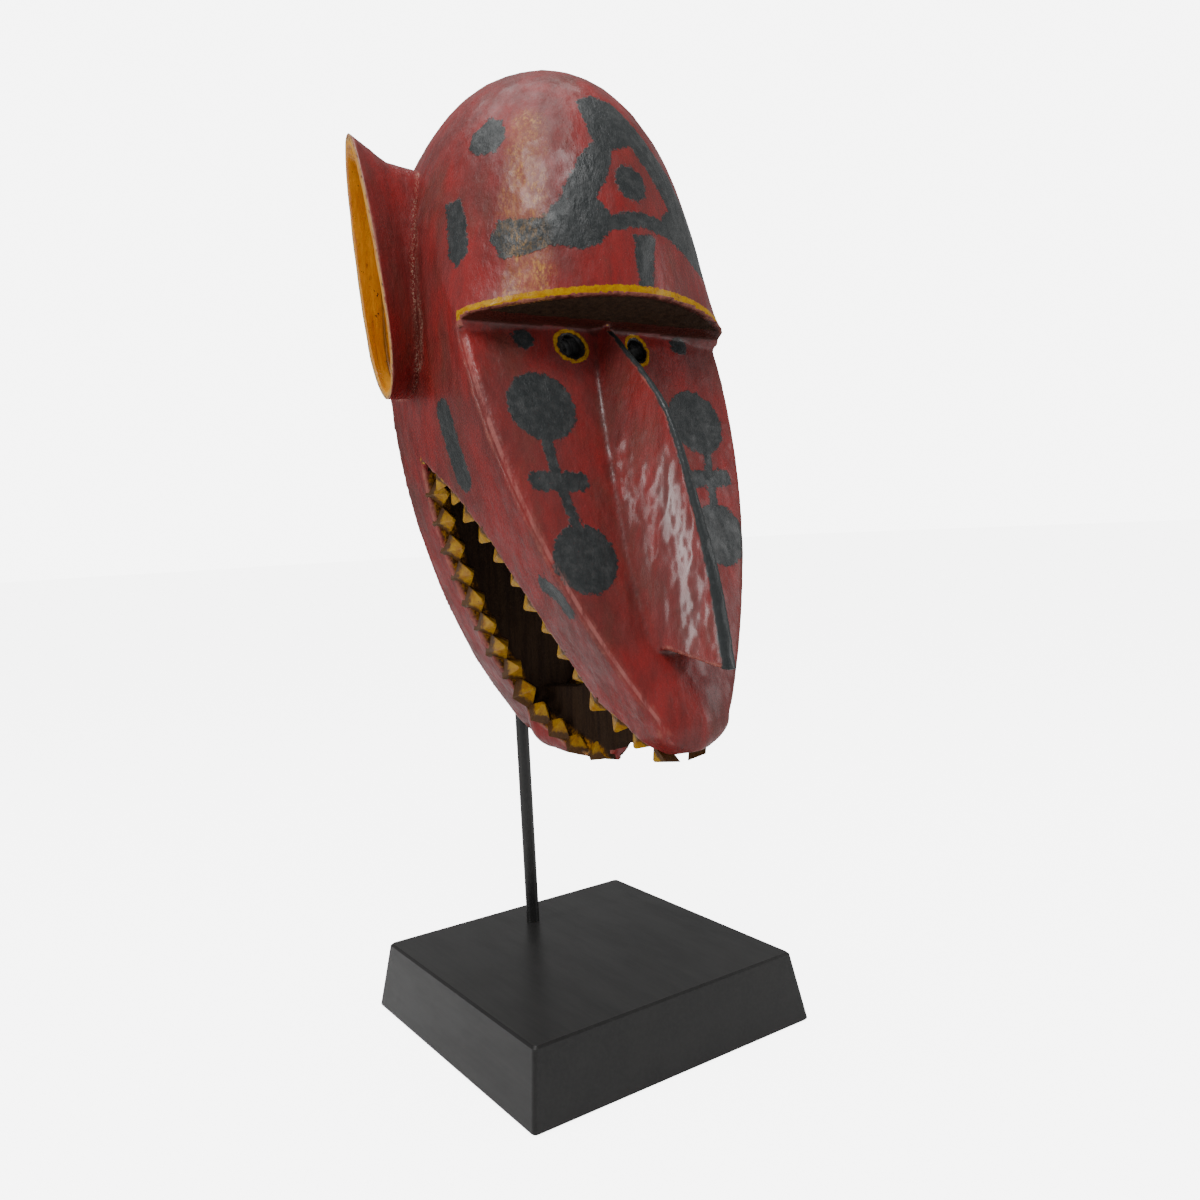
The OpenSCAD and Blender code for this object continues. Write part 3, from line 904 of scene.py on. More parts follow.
def lower_row():
    """Line of the lower teeth on the +X side, from the corner of the mouth to the tip of the scoop."""
    line = [(jaw_half(z) - 9.5, lip_y(LOWER_LIP, z), z) for z in range(396, 262, -12)]
    return line + [(28.0, 24.0, 254.0), (22.0, 18.0, 232.0), (17.0, 4.0, 222.0), (13.0, -10.0, 214.0),
                   (9.0, -24.0, 206.0), (6.0, -38.0, 203.0), (3.0, -52.0, 202.0)]


def spaced(line, count):
    """Points spread evenly along a line, each with the line's direction there."""
    rows = np.array(line, float)
    lengths = np.concatenate([[0.0], np.cumsum(np.linalg.norm(np.diff(rows, axis=0), axis=1))])
    out = []
    for i in range(count):
        s = lengths[-1] * (i + 0.5) / count
        point, ahead, behind = (
            np.array([np.interp(v, lengths, rows[:, k]) for k in range(3)]) for v in (s, s + 3.0, s - 3.0))
        out.append((point, ahead - behind))
    return out


def tooth(bm, heights, foot, normal, along, height, length, width, rng):
    """One hand-cut tooth: a diamond foot that rises to a short blunt edge."""
    along = Vector(along).normalized()
    normal = Vector(normal)
    normal = (normal - along * normal.dot(along)).normalized()
    across = normal.cross(along)
    foot = Vector(foot)
    jitter = rng.uniform(-1.0, 1.0, 4)
    tip = foot + normal * height * (1 + 0.12 * jitter[0]) + along * jitter[1] + across * 0.8 * jitter[2]
    grown = 1 + 0.08 * jitter[3]
    base, top = [], []
    for a, b in ((-1, 0), (0, -1), (1, 0), (0, 1)):
        spread = along * (a * length / 2 * grown) + across * (b * width / 2 * grown)
        base.append(bm.verts.new((foot - normal * 2.5 + spread * 1.15) * MM))
        top.append(bm.verts.new((tip + spread * 0.16) * MM))
    for vert in base:
        vert[heights] = 0.0
    for vert in top:
        vert[heights] = 1.0
    for i in range(4):
        j = (i + 1) % 4
        bm.faces.new((base[i], base[j], top[j], top[i]))
    bm.faces.new(top)
    bm.faces.new(tuple(reversed(base)))


def carve_teeth(name, line, count, normal_of, spread, settings, seed):
    """Both sides' row of teeth on one jaw."""
    rng = np.random.default_rng(seed)
    bm = bmesh.new()
    heights = bm.verts.layers.float.new("tip")
    row = spaced(line, count)
    gap = float(np.linalg.norm(row[1][0] - row[0][0]))
    for side in (-1, 1):
        for point, along in row:
            flip = np.array([side, 1.0, 1.0])
            tooth(bm, heights, point * flip, Vector(normal_of(point) * flip), along * flip,
                  settings.tooth_height / MM * np.interp(point[2], [208.0, 235.0], [0.60, 1.0]),
                  spread[0] * gap, spread[1] * gap, rng)
    edges = [e for e in bm.edges if e.verts[0][heights] + e.verts[1][heights] > 0.5]
    bmesh.ops.bevel(bm, geom=edges, offset=0.0006, segments=2, affect="EDGES", profile=0.6)
    mesh = bpy.data.meshes.new(name)
    bm.to_mesh(mesh)
    bm.free()
    obj = bpy.data.objects.new(name, mesh)
    bpy.context.scene.collection.objects.link(obj)
    fix_normals(obj)
    return obj


def upper_normal(point):
    """The upper teeth stand off the lip into the mouth, splayed outwards."""
    z = point[2]
    rise = (lip_y(UPPER_LIP, z + 4.0) - lip_y(UPPER_LIP, z - 4.0)) / 8.0
    return np.array([0.22, 1.0, -rise]) if z > 222.0 else np.array([0.05, 0.9, -0.7])


def lower_normal(point):
    """The lower teeth point forward on the slab and up on the scoop."""
    up = np.interp(point[2], [205.0, 262.0], [1.2, 0.05])
    return np.array([0.05, -1.0, up])


# ---------------------------------------------------------------- materials

class Finish:
    """One material, with short hands for wiring its nodes. Lengths are in millimetres."""

    def __init__(self, name):
        self.material = bpy.data.materials.new(name)
        self.material.use_nodes = True
        self.tree = self.material.node_tree
        self.shader = self.tree.nodes["Principled BSDF"]
        self.place = self.tree.nodes.new("ShaderNodeTexCoord").outputs["Object"]

    def feed(self, socket, value):
        """Link a socket, or set it to a number or a colour."""
        if isinstance(value, bpy.types.NodeSocket):
            self.tree.links.new(value, socket)
        elif isinstance(value, (int, float)):
            socket.default_value = value
        else:
            socket.default_value = (*value, 1.0)[:4]

    def set(self, **sockets):
        """Set or link the shader's own sockets; spaces in their names are written as underscores."""
        for name, value in sockets.items():
            self.feed(self.shader.inputs[name.replace("_", " ")], value)

    def layer(self, name):
        """Number stored on the mesh."""
        node = self.tree.nodes.new("ShaderNodeAttribute")
        node.attribute_name = name
        return node.outputs["Fac"]

    def stretched(self, stretch, shift):
        """Object position, squeezed along each axis and moved."""
        node = self.tree.nodes.new("ShaderNodeMapping")
        node.inputs["Scale"].default_value = stretch
        node.inputs["Location"].default_value = (shift, shift * 0.7, shift * 0.4)
        self.tree.links.new(self.place, node.inputs["Vector"])
        return node.outputs["Vector"]

    def clouds(self, size, stretch=(1, 1, 1), detail=4.0, rough=0.6, shift=0.0):
        """Cloudy noise from 0 to 1 whose largest blots have the given size."""
        node = self.tree.nodes.new("ShaderNodeTexNoise")
        node.inputs["Scale"].default_value = 1000.0 / size
        node.inputs["Detail"].default_value = detail
        node.inputs["Roughness"].default_value = rough
        self.tree.links.new(self.stretched(stretch, shift), node.inputs["Vector"])
        return node.outputs["Fac"]

    def specks(self, size, shift=0.0):
        """Distance to scattered points, 0 at each point."""
        node = self.tree.nodes.new("ShaderNodeTexVoronoi")
        node.inputs["Scale"].default_value = 1000.0 / size
        self.tree.links.new(self.stretched((1, 1, 1), shift), node.inputs["Vector"])
        return node.outputs["Distance"]

    def math(self, operation, a, b=0.0):
        """One sum on numbers."""
        node = self.tree.nodes.new("ShaderNodeMath")
        node.operation = operation
        self.feed(node.inputs[0], a)
        self.feed(node.inputs[1], b)
        return node.outputs[0]

    def ramp(self, value, low, high, bottom=0.0, top=1.0):
        """Smooth step from bottom to top while value goes from low to high."""
        node = self.tree.nodes.new("ShaderNodeMapRange")
        node.interpolation_type = "SMOOTHSTEP"
        self.feed(node.inputs["Value"], value)
        for name, number in (("From Min", low), ("From Max", high), ("To Min", bottom), ("To Max", top)):
            node.inputs[name].default_value = number
        return node.outputs["Result"]

    def blend(self, amount, a, b, mode="MIX"):
        """Mix two colours."""
        node = self.tree.nodes.new("ShaderNodeMix")
        node.data_type = "RGBA"
        node.blend_type = mode
        self.feed(node.inputs[0], amount)
        self.feed(node.inputs[6], a)
        self.feed(node.inputs[7], b)
        return node.outputs[2]

    def relief(self, height, depth, strength, under=None):
        """Bump of a depth in millimetres, on top of another one."""
        node = self.tree.nodes.new("ShaderNodeBump")
        node.inputs["Distance"].default_value = depth * MM
        node.inputs["Strength"].default_value = strength
        self.tree.links.new(height, node.inputs["Height"])
        if under is not None:
            self.tree.links.new(under, node.inputs["Normal"])
        return node.outputs["Normal"]

    def ragged(self, layer, reach, size, shift=0.0, soft=0.5):
        """1 inside a stored outline whose edge wanders by reach."""
        wander = self.math("SUBTRACT", self.clouds(size, detail=5.0, shift=shift), 0.5)
        wander = self.math("MULTIPLY", wander, 4 * reach)
        return self.ramp(self.math("ADD", self.layer(layer), wander), -soft, soft)


def red_ground(f, paint):
    """Old red paint: patches of duller red, streaks down the head and fine dark flecks."""
    patches = f.ramp(f.clouds(46, (1, 1, 0.6), 3.0), 0.34, 0.60)
    brown = f.ramp(f.clouds(30, (1, 1, 0.5), 5.0, 0.65, 51.0), 0.46, 0.70)
    streaks = f.ramp(f.clouds(7, (1, 1, 0.14), 5.0, 0.65, 3.0), 0.40, 0.68)
    bright = f.ramp(f.clouds(20, (1, 1, 0.35), 4.0, 0.6, 9.0), 0.48, 0.72)
    flecks = f.ramp(f.clouds(1.7, (1, 1, 0.7), 3.0, 0.7, 5.0), 0.60, 0.78)
    dull = f.math("MULTIPLY", patches, 0.80)
    colour = f.blend(dull, paint.red, paint.maroon)
    colour = f.blend(f.math("MULTIPLY", brown, 0.60), colour, (0.085, 0.0260, 0.0170))
    colour = f.blend(f.math("MULTIPLY", streaks, 0.45), colour, (0.075, 0.0110, 0.0100))
    colour = f.blend(f.math("MULTIPLY", bright, 0.40), colour, (0.26, 0.0110, 0.0100))
    return f.blend(f.math("MULTIPLY", flecks, 0.55), colour, (0.040, 0.0100, 0.0090))


def worn_highlit_edges_and_hollow_shade(f, colour, low, high):
    """Paint worn thin along edges that stand out, its pale colour also a painted highlight where those edges
    catch the light, and painted shade darkening the hollows.
    """
    convexity = f.layer("convexity")
    patchy = f.math("MULTIPLY", f.clouds(5, detail=5.0, shift=13.0), 1.3)
    worn_and_highlit_edges = f.math("MULTIPLY", f.ramp(convexity, low, high), f.ramp(patchy, 0.35, 0.85))
    # Pale colour on convex edges: worn paint, and also a painted highlight where the edges catch the light.
    colour = f.blend(f.math("MULTIPLY", worn_and_highlit_edges, 0.55), colour, (0.36, 0.13, 0.095))
    # Darker colour in concave hollows: painted shade.
    hollow_shade = f.ramp(convexity, -low, -high)
    return f.blend(f.math("MULTIPLY", hollow_shade, 0.6), colour, (0.035, 0.014, 0.011)), worn_and_highlit_edges


def dusty_crease(f, colour, reach):
    """Pale specks of old filler along the ear's root."""
    band = f.ramp(f.layer("dust"), 0.4, reach, 1.0, 0.0)
    grains = f.ramp(f.clouds(1.3, detail=2.0, rough=0.8, shift=21.0), 0.50, 0.64)
    thin = f.ramp(f.clouds(9, (1, 1, 0.4), shift=31.0), 0.35, 0.65, 0.35, 1.0)
    amount = f.math("MULTIPLY", f.math("MULTIPLY", band, grains), f.math("MULTIPLY", thin, 0.85))
    return f.blend(amount, colour, (0.50, 0.33, 0.24))


def brush_relief(f, under=None):
    """Brush strokes, pores and small knocks in the paint."""
    strokes = f.clouds(2.6, (1, 1, 0.22), 4.0, 0.6, 7.0)
    lumps = f.clouds(5.5, (1, 1, 0.6), 3.0, 0.55, 17.0)
    pits = f.ramp(f.specks(4.2, 2.0), 0.0, 0.16)
    normal = f.relief(lumps, 1.1, 0.65, under)
    normal = f.relief(strokes, 0.5, 0.75, normal)
    return f.relief(pits, 0.25, 0.55, normal)


def painted_head(paint):
    """Red head with black marks, yellow lines, gold streak and bare dark wood inside."""
    f = Finish("painted_head")
    colour = red_ground(f, paint)
    gold = f.math("MULTIPLY", f.ramp(f.layer("gold"), -3.0, 11.0),
                  f.ramp(f.clouds(2.3, (1, 1, 0.45), 6.0, 0.8, 4.0), 0.44, 0.66))
    gold = f.math("MULTIPLY", gold, f.ramp(f.clouds(24, (1, 1, 0.6), 3.0, 0.6, 53.0), 0.36, 0.62, 0.25, 1.0))
    veil = f.math("MULTIPLY", f.ramp(f.layer("gold"), -2.0, 14.0), 0.35)
    colour = f.blend(veil, colour, (0.30, 0.10, 0.045))
    black = f.ragged("marks", 2.0, 3.2, 1.0, 0.7)
    rubbed_through = f.ramp(f.clouds(2.8, detail=5.0, rough=0.7, shift=8.0), 0.66, 0.74)
    black = f.math("MULTIPLY", black, f.math("SUBTRACT", 1.0, f.math("MULTIPLY", rubbed_through, 0.55)))
    soot = f.blend(f.ramp(f.clouds(6, detail=5.0, shift=2.0), 0.4, 0.7), paint.black, (0.034, 0.036, 0.036))
    colour = f.blend(black, colour, soot)
    crest = f.ragged("crest", 0.35, 5.0, 10.0, 0.3)
    rim = f.math("MULTIPLY", f.ramp(f.math("ABSOLUTE", f.layer("crest_rim")), 0.1, 0.8, 1.0, 0.0),
                 f.ramp(f.clouds(5.0, (1, 1, 0.5), 5.0, 0.7, 33.0), 0.42, 0.60))
    # Dark maroon on the brow's downward-facing underside: painted shade.
    colour = f.blend(f.layer("under_brow"), colour, (0.046, 0.0105, 0.0075))
    colour = f.blend(f.math("MULTIPLY", gold, 0.90), colour, (0.50, 0.25, 0.045))
    yellow = f.ragged("yellow", 0.9, 3.0, 6.0, 0.35)
    chips = f.ramp(f.clouds(2.4, detail=4.0, shift=12.0), 0.64, 0.70)
    ochre = f.blend(f.ramp(f.clouds(4, shift=14.0), 0.4, 0.7), paint.yellow, (0.29, 0.120, 0.0010))
    ochre = f.blend(f.math("MULTIPLY", chips, 0.8), ochre, (0.05, 0.03, 0.015))
    dabs = f.math("MULTIPLY", f.ramp(f.layer("lip"), 0.5, 3.4, 1.0, 0.0),
                  f.ramp(f.clouds(6.5, detail=2.0, shift=19.0), 0.55, 0.62))
    lip_line = f.math("MULTIPLY", f.ramp(f.layer("lip"), 0.4, 1.6, 1.0, 0.0), 0.85)
    colour = f.blend(lip_line, colour, (0.022, 0.014, 0.010))
    gum = f.math("MULTIPLY", f.ramp(f.layer("gum"), 4.0, 7.5, 1.0, 0.0),
                 f.ramp(f.clouds(4, detail=4.0, shift=37.0), 0.2, 0.45))
    brown = f.blend(f.ramp(f.clouds(3.2, detail=4.0, shift=39.0), 0.40, 0.62),
                    (0.060, 0.026, 0.0075), (0.30, 0.125, 0.0060))
    # Thin, broken pale pink line along the face plate's bevel: painted highlight.
    bevel_highlight = f.math("MULTIPLY", f.ramp(f.layer("bevel_highlight"), 0.9, 1.9, 1.0, 0.0),
                    f.ramp(f.clouds(7, (1, 1, 0.3), 5.0, 0.7, 41.0), 0.36, 0.56))
    colour = f.blend(f.math("MULTIPLY", bevel_highlight, 0.42), colour, (0.40, 0.15, 0.13))
    # Pale convex edges are worn paint and a painted highlight; concave hollows get painted shade.
    colour, worn_and_highlit_edges = worn_highlit_edges_and_hollow_shade(f, colour, 0.045, 0.12)
    colour = f.blend(crest, colour, paint.black)
    colour = f.blend(f.math("MULTIPLY", rim, 0.55), colour, (0.42, 0.22, 0.15))
    colour = f.blend(f.ramp(f.layer("socket"), -0.5, 0.5), colour, (0.0070, 0.0060, 0.0055))
    painted = f.math("MAXIMUM", yellow, dabs)
    colour = f.blend(painted, colour, ochre)
    colour = dusty_crease(f, colour, 4.5)
    grain = f.ramp(f.clouds(5, (1, 1, 0.1), 6.0, 0.7, 25.0), 0.35, 0.7)
    wood = f.blend(grain, paint.wood, (0.018, 0.010, 0.007))
    bare = f.ramp(f.layer("bare"), 0.35, 0.65)
    colour = f.blend(bare, colour, wood)
    colour = f.blend(gum, colour, brown)
    smooth = f.ramp(f.clouds(12, (1, 1, 0.4), 4.0, 0.6, 27.0), 0.35, 0.7, 0.40, 0.58)
    rough = f.math("ADD", smooth, f.math("MULTIPLY", black, -0.06))
    rough = f.math("ADD", rough, f.math("MULTIPLY", bare, 0.38))
    rough = f.math("ADD", rough, f.math("MULTIPLY", worn_and_highlit_edges, 0.12))
    gloss = f.math("MULTIPLY", f.math("SUBTRACT", 1.0, f.math("MAXIMUM", bare, f.layer("under_brow"))),
                   f.ramp(f.clouds(9, (1, 1, 0.4), 4.0, 0.6, 43.0), 0.35, 0.70, 0.05, 0.30))
    gloss = f.math("ADD", gloss, f.math("MULTIPLY", f.layer("polish"), 0.65))
    impasto = f.relief(f.math("MULTIPLY", black, f.clouds(2.2, (1, 1, 0.5), 4.0, 0.7, 47.0)), 0.8, 0.6)
    f.set(Base_Color=colour, Roughness=rough, Normal=brush_relief(f, impasto))
    dull = f.math("MAXIMUM", f.math("MAXIMUM", bare, yellow), f.layer("under_brow"))
    sheen = f.math("MULTIPLY", f.math("SUBTRACT", 1.0, dull), 0.22)
    f.set(Specular_IOR_Level=f.math("ADD", sheen, 0.05), Coat_Weight=gloss, Coat_Roughness=0.15)
    return f.material


def painted_ear(paint):
    """Red outside, orange and chipped inside the cup, with a worn pale rim."""
    f = Finish("painted_ear")
    colour = red_ground(f, paint)
    inside = f.layer("cup")
    ochre = f.blend(f.ramp(f.clouds(16, (1, 1, 0.4), 4.0), 0.35, 0.7),
                    (0.56, 0.22, 0.012), (0.66, 0.31, 0.014))
    stains = f.ramp(f.clouds(7, (1, 1, 0.5), 5.0, 0.7, 3.0), 0.60, 0.74)
    ochre = f.blend(f.math("MULTIPLY", stains, 0.7), ochre, (0.13, 0.045, 0.012))
    chips = f.ramp(f.clouds(9, (1, 1.4, 1), 4.0, 0.75, 6.0), 0.655, 0.675)
    ochre = f.blend(chips, ochre, (0.030, 0.020, 0.014))
    colour = f.blend(inside, colour, ochre)
    rim = f.ramp(f.layer("rim"), 0.6, 2.2, 1.0, 0.0)
    pale = f.math("MULTIPLY", rim, f.ramp(f.clouds(3.2, detail=5.0, shift=16.0), 0.38, 0.52))
    colour = f.blend(f.math("MULTIPLY", pale, 0.85), colour, (0.50, 0.30, 0.10))
    specks = f.math("MULTIPLY", rim, f.ramp(f.clouds(2.0, detail=3.0, shift=18.0), 0.60, 0.66))
    colour = f.blend(specks, colour, (0.028, 0.022, 0.018))
    # Pale convex edges are worn paint and a painted highlight; concave hollows get painted shade.
    colour, worn_and_highlit_edges = worn_highlit_edges_and_hollow_shade(f, colour, 0.05, 0.16)
    colour = dusty_crease(f, colour, 5.0)
    rough = f.ramp(f.clouds(12, (1, 1, 0.4), 4.0, 0.6, 27.0), 0.35, 0.7, 0.26, 0.46)
    rough = f.math("ADD", rough, f.math("MULTIPLY", worn_and_highlit_edges, 0.12))
    f.set(Base_Color=colour, Roughness=rough, Normal=brush_relief(f))
    f.set(Specular_IOR_Level=0.35, Coat_Weight=0.25, Coat_Roughness=0.14)
    return f.material


def painted_teeth(paint):
    """Thick yellow paint, darker towards the foot of each tooth."""
    f = Finish("painted_teeth")
    shade = f.ramp(f.clouds(5, detail=4.0), 0.35, 0.7)
    colour = f.blend(shade, paint.yellow, (0.27, 0.110, 0.0010))
    # Yellow darkens in patches towards the foot of each tooth.
    foot_darkening = f.math("ADD", f.ramp(f.layer("tip"), 0.15, 0.75, 0.85, 0.0),
                   f.math("SUBTRACT", f.clouds(2.6, shift=3.0), 0.5))
    colour = f.blend(f.ramp(foot_darkening, 0.25, 0.75), colour, (0.075, 0.030, 0.0060))
    chips = f.ramp(f.clouds(1.9, detail=4.0, rough=0.7, shift=6.0), 0.62, 0.68)
    colour = f.blend(f.math("MULTIPLY", chips, 0.7), colour, (0.035, 0.020, 0.012))
    rough = f.ramp(f.clouds(4, shift=9.0), 0.3, 0.7, 0.30, 0.55)
    f.set(Base_Color=colour, Roughness=rough, Normal=brush_relief(f))
    f.set(Specular_IOR_Level=0.22, Coat_Weight=0.05, Coat_Roughness=0.25)
    return f.material


def stained_plinth():
    """Close-grained wood, stained black-brown and waxed to a satin sheen."""
    f = Finish("stained_plinth")
    grain = f.clouds(2.2, (1, 0.035, 1), 5.0, 0.65)
    figure = f.ramp(f.clouds(24, (1, 0.12, 1), 3.0, 0.5, 4.0), 0.35, 0.7)
    pores = f.ramp(f.clouds(0.7, (1, 0.05, 1), 2.0, 0.6, 7.0), 0.62, 0.74)
    colour = f.blend(f.ramp(grain, 0.35, 0.7), (0.0085, 0.0082, 0.0080), (0.0130, 0.0124, 0.0119))
    colour = f.blend(f.math("MULTIPLY", figure, 0.4), colour, (0.0155, 0.0146, 0.0138))
    colour = f.blend(f.math("MULTIPLY", pores, 0.5), colour, (0.0060, 0.0055, 0.0050))
    rubs = f.ramp(f.clouds(1.4, detail=3.0, rough=0.8, shift=11.0), 0.76, 0.80)
    colour = f.blend(f.math("MULTIPLY", rubs, 0.4), colour, (0.09, 0.075, 0.06))
    rough = f.ramp(f.clouds(15, (1, 0.3, 1), 4.0, 0.6, 2.0), 0.3, 0.7, 0.30, 0.38)
    f.set(Base_Color=colour, Roughness=rough, Normal=f.relief(grain, 0.05, 0.4))
    f.set(Specular_IOR_Level=0.35, Sheen_Weight=0.10, Sheen_Roughness=0.3)
    return f.material


def blackened_steel(name, worn):
    """Black stoved steel with a faint orange-peel and small rubs."""
    f = Finish(name)
    peel = f.clouds(1.1, detail=2.0)
    tone = f.ramp(f.clouds(14, (1, 1, 0.3), 4.0, 0.6, 3.0), 0.35, 0.7)
    colour = f.blend(tone, (0.012, 0.012, 0.012), (0.022, 0.021, 0.020))
    rubs = f.ramp(f.clouds(3, (1, 1, 0.3), 5.0, 0.75, 8.0), 0.70, 0.76)
    colour = f.blend(f.math("MULTIPLY", rubs, worn), colour, (0.16, 0.15, 0.14))
    rough = f.ramp(tone, 0.0, 1.0, 0.30, 0.42)
    f.set(Base_Color=colour, Roughness=rough, Metallic=0.25, Normal=f.relief(peel, 0.05, 0.5))
    return f.material


def zinc_steel():
    """Dull zinc plate with a spangled, slightly stained surface."""
    f = Finish("zinc_plate")
    spangle = f.ramp(f.specks(1.8), 0.1, 0.6)
    colour = f.blend(spangle, (0.46, 0.47, 0.48), (0.58, 0.59, 0.60))
    stain = f.ramp(f.clouds(3, detail=4.0), 0.55, 0.75)
    colour = f.blend(f.math("MULTIPLY", stain, 0.5), colour, (0.30, 0.28, 0.24))
    rough = f.ramp(f.clouds(1.5, shift=3.0), 0.3, 0.7, 0.28, 0.45)
    f.set(Base_Color=colour, Roughness=rough, Metallic=1.0, Normal=f.relief(spangle, 0.02, 0.4))
    return f.material


def soft_cover(name, light, dark, fibre):
    """Felt or rubber: tangled fibres or a fine matt skin."""
    f = Finish(name)
    tangle = f.clouds(fibre, detail=5.0, rough=0.75)
    wisps = f.clouds(fibre * 4, (1, 0.25, 1), 4.0, 0.7, 5.0)
    colour = f.blend(f.ramp(f.math("MULTIPLY", f.math("ADD", tangle, wisps), 0.5), 0.35, 0.65), dark, light)
    rough = f.ramp(tangle, 0.3, 0.7, 0.80, 0.95)
    f.set(Base_Color=colour, Roughness=rough, Normal=f.relief(tangle, fibre * 0.3, 0.7))
    f.set(Sheen_Weight=0.15, Sheen_Roughness=0.5)
    return f.material


def pale_dowel():
    """Plain beech dowel with short rays."""
    f = Finish("beech_dowel")
    grain = f.clouds(1.6, (0.08, 1, 1), 4.0, 0.65)
    rays = f.ramp(f.clouds(0.8, (0.3, 1, 1), 2.0, 0.6, 4.0), 0.62, 0.70)
    colour = f.blend(f.ramp(grain, 0.35, 0.7), (0.46, 0.29, 0.16), (0.34, 0.19, 0.095))
    colour = f.blend(f.math("MULTIPLY", rays, 0.5), colour, (0.22, 0.12, 0.06))
    f.set(Base_Color=colour, Roughness=f.ramp(grain, 0.3, 0.7, 0.55, 0.7), Normal=f.relief(grain, 0.06, 0.5))
    return f.material


def dress(node, material):
    """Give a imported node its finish."""
    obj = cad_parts[node]
    if not obj.material_slots:
        raise RuntimeError(f"{node} has no material slot")
    for slot in obj.material_slots:
        slot.link = "OBJECT"
        slot.material = material


# ---------------------------------------------------------------- operators

class MASK_OT_head(bpy.types.Operator):
    """Carve and paint the head"""

    bl_idname = "mask.head"
    bl_label = "Head"

    def execute(self, context):
        carving = context.scene.mask_carving
        head = carve_head(carving)
        bare = bare_wood(*read_points(head.data).T)
        tool_marks(head, carving.adze / MM, carving.gouge / MM, bare)
        paint_head(head)
        shade_smooth(head)
        head.data.materials.append(painted_head(context.scene.mask_paint))
        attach(head, BODY_MASK)
        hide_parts("mask_head")
        return {"FINISHED"}


class MASK_OT_ears(bpy.types.Operator):
    """Carve and paint both ears"""

    bl_idname = "mask.ears"
    bl_label = "Ears"

    def execute(self, context):
        material = painted_ear(context.scene.mask_paint)
        graph = context.evaluated_depsgraph_get()
        head_tree = BVHTree.FromObject(bpy.data.objects["carved_head"], graph)
        for name, node, side in (("carved_ear_left", "ear_left", 1), ("carved_ear_right", "ear_right", -1)):
            ear = carve_ear(name, side, context.scene.mask_carving, head_tree)
            ear.data.materials.append(material)
            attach(ear, BODY_MASK)
            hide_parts(node)
        return {"FINISHED"}


class MASK_OT_teeth(bpy.types.Operator):
    """Carve both rows of teeth"""

    bl_idname = "mask.teeth"
    bl_label = "Teeth"

    def execute(self, context):
        carving = context.scene.mask_carving
        material = painted_teeth(context.scene.mask_paint)
        rows = (("upper_teeth", upper_row(), carving.teeth + 1, upper_normal, (1.12, 0.62), 3),
                ("lower_teeth", lower_row(), carving.teeth, lower_normal, (1.14, 0.90), 4))
        for name, line, count, normal_of, spread, seed in rows:
            row = carve_teeth(name, line, count, normal_of, spread, carving, seed)
            row.data.materials.append(material)
            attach(row, BODY_MASK)
        return {"FINISHED"}


class MASK_OT_stand(bpy.types.Operator):
    """Finish the plinth, the post and the fittings"""

    bl_idname = "mask.stand"
    bl_label = "Stand"

    def execute(self, context):
        steel = blackened_steel("blackened_post", 0.25)
        fittings = blackened_steel("blackened_fittings", 0.5)
        zinc = zinc_steel()
        black_felt = soft_cover("black_felt", (0.030, 0.030, 0.030), (0.008, 0.008, 0.008), 0.8)
        rubber = soft_cover("black_rubber", (0.024, 0.024, 0.024), (0.015, 0.015, 0.015), 0.4)
        beech = pale_dowel()
        finishes = {
            "felt_base": black_felt, "plinth": stained_plinth(), "base_washer": zinc, "base_bolt": zinc,
            "post": steel, "hook_arm": fittings, "arm_sleeve": rubber, "spreader_bar": fittings,
            "spreader_pads": black_felt, "ear_dowels_left": beech, "ear_dowels_right": beech}
        for node, material in finishes.items():
            dress(node, material)
        return {"FINISHED"}


BACKDROP = 6.8  # brightness of the background in the picture
AMBIENT = 0.36  # brightness of the white light from all round
FLOOR_HALF = 20000.0
LENS = 31.33
CAMERA_AT = (-0.4039, -0.6327, 0.3544)
CAMERA_TURN = (-34.511, 3.766, -2.944)  # azimuth, tilt down and roll in degrees


def studio_floor():
    """White floor that looks as bright to the camera as the background."""
    f = Finish("studio_floor")
    f.set(Base_Color=(0.9, 0.9, 0.9), Roughness=0.9)
    f.set(Specular_IOR_Level=0.0, Emission_Color=(1.0, 1.0, 1.0))
    seen = f.tree.nodes.new("ShaderNodeLightPath").outputs["Is Camera Ray"]
    f.set(Emission_Strength=f.math("MULTIPLY", seen, BACKDROP - 1.0))
    return f.material


def studio_world():
    """Even white light from all round, brighter where the camera sees it."""
    world = bpy.data.worlds.new("studio")
    world.use_nodes = True
    tree = world.node_tree
    background = tree.nodes["Background"]
    background.inputs["Color"].default_value = (1.0, 1.0, 1.0, 1.0)
    seen = tree.nodes.new("ShaderNodeLightPath").outputs["Is Camera Ray"]
    strength = tree.nodes.new("ShaderNodeMapRange")
    tree.links.new(seen, strength.inputs["Value"])
    strength.inputs["To Min"].default_value = AMBIENT
    strength.inputs["To Max"].default_value = BACKDROP
    tree.links.new(strength.outputs["Result"], background.inputs["Strength"])
    return world


def softbox(name, place, target, width, height, power):
    """Rectangular studio light aimed at a point; lengths in metres."""
    light = bpy.data.lights.new(name, "AREA")
    light.shape = "RECTANGLE"
    light.size, light.size_y = width, height
    light.energy = power
    obj = bpy.data.objects.new(name, light)
    obj.location = place
    obj.rotation_euler = (Vector(target) - Vector(place)).to_track_quat("-Z", "Y").to_euler()
    bpy.context.scene.collection.objects.link(obj)
    return obj


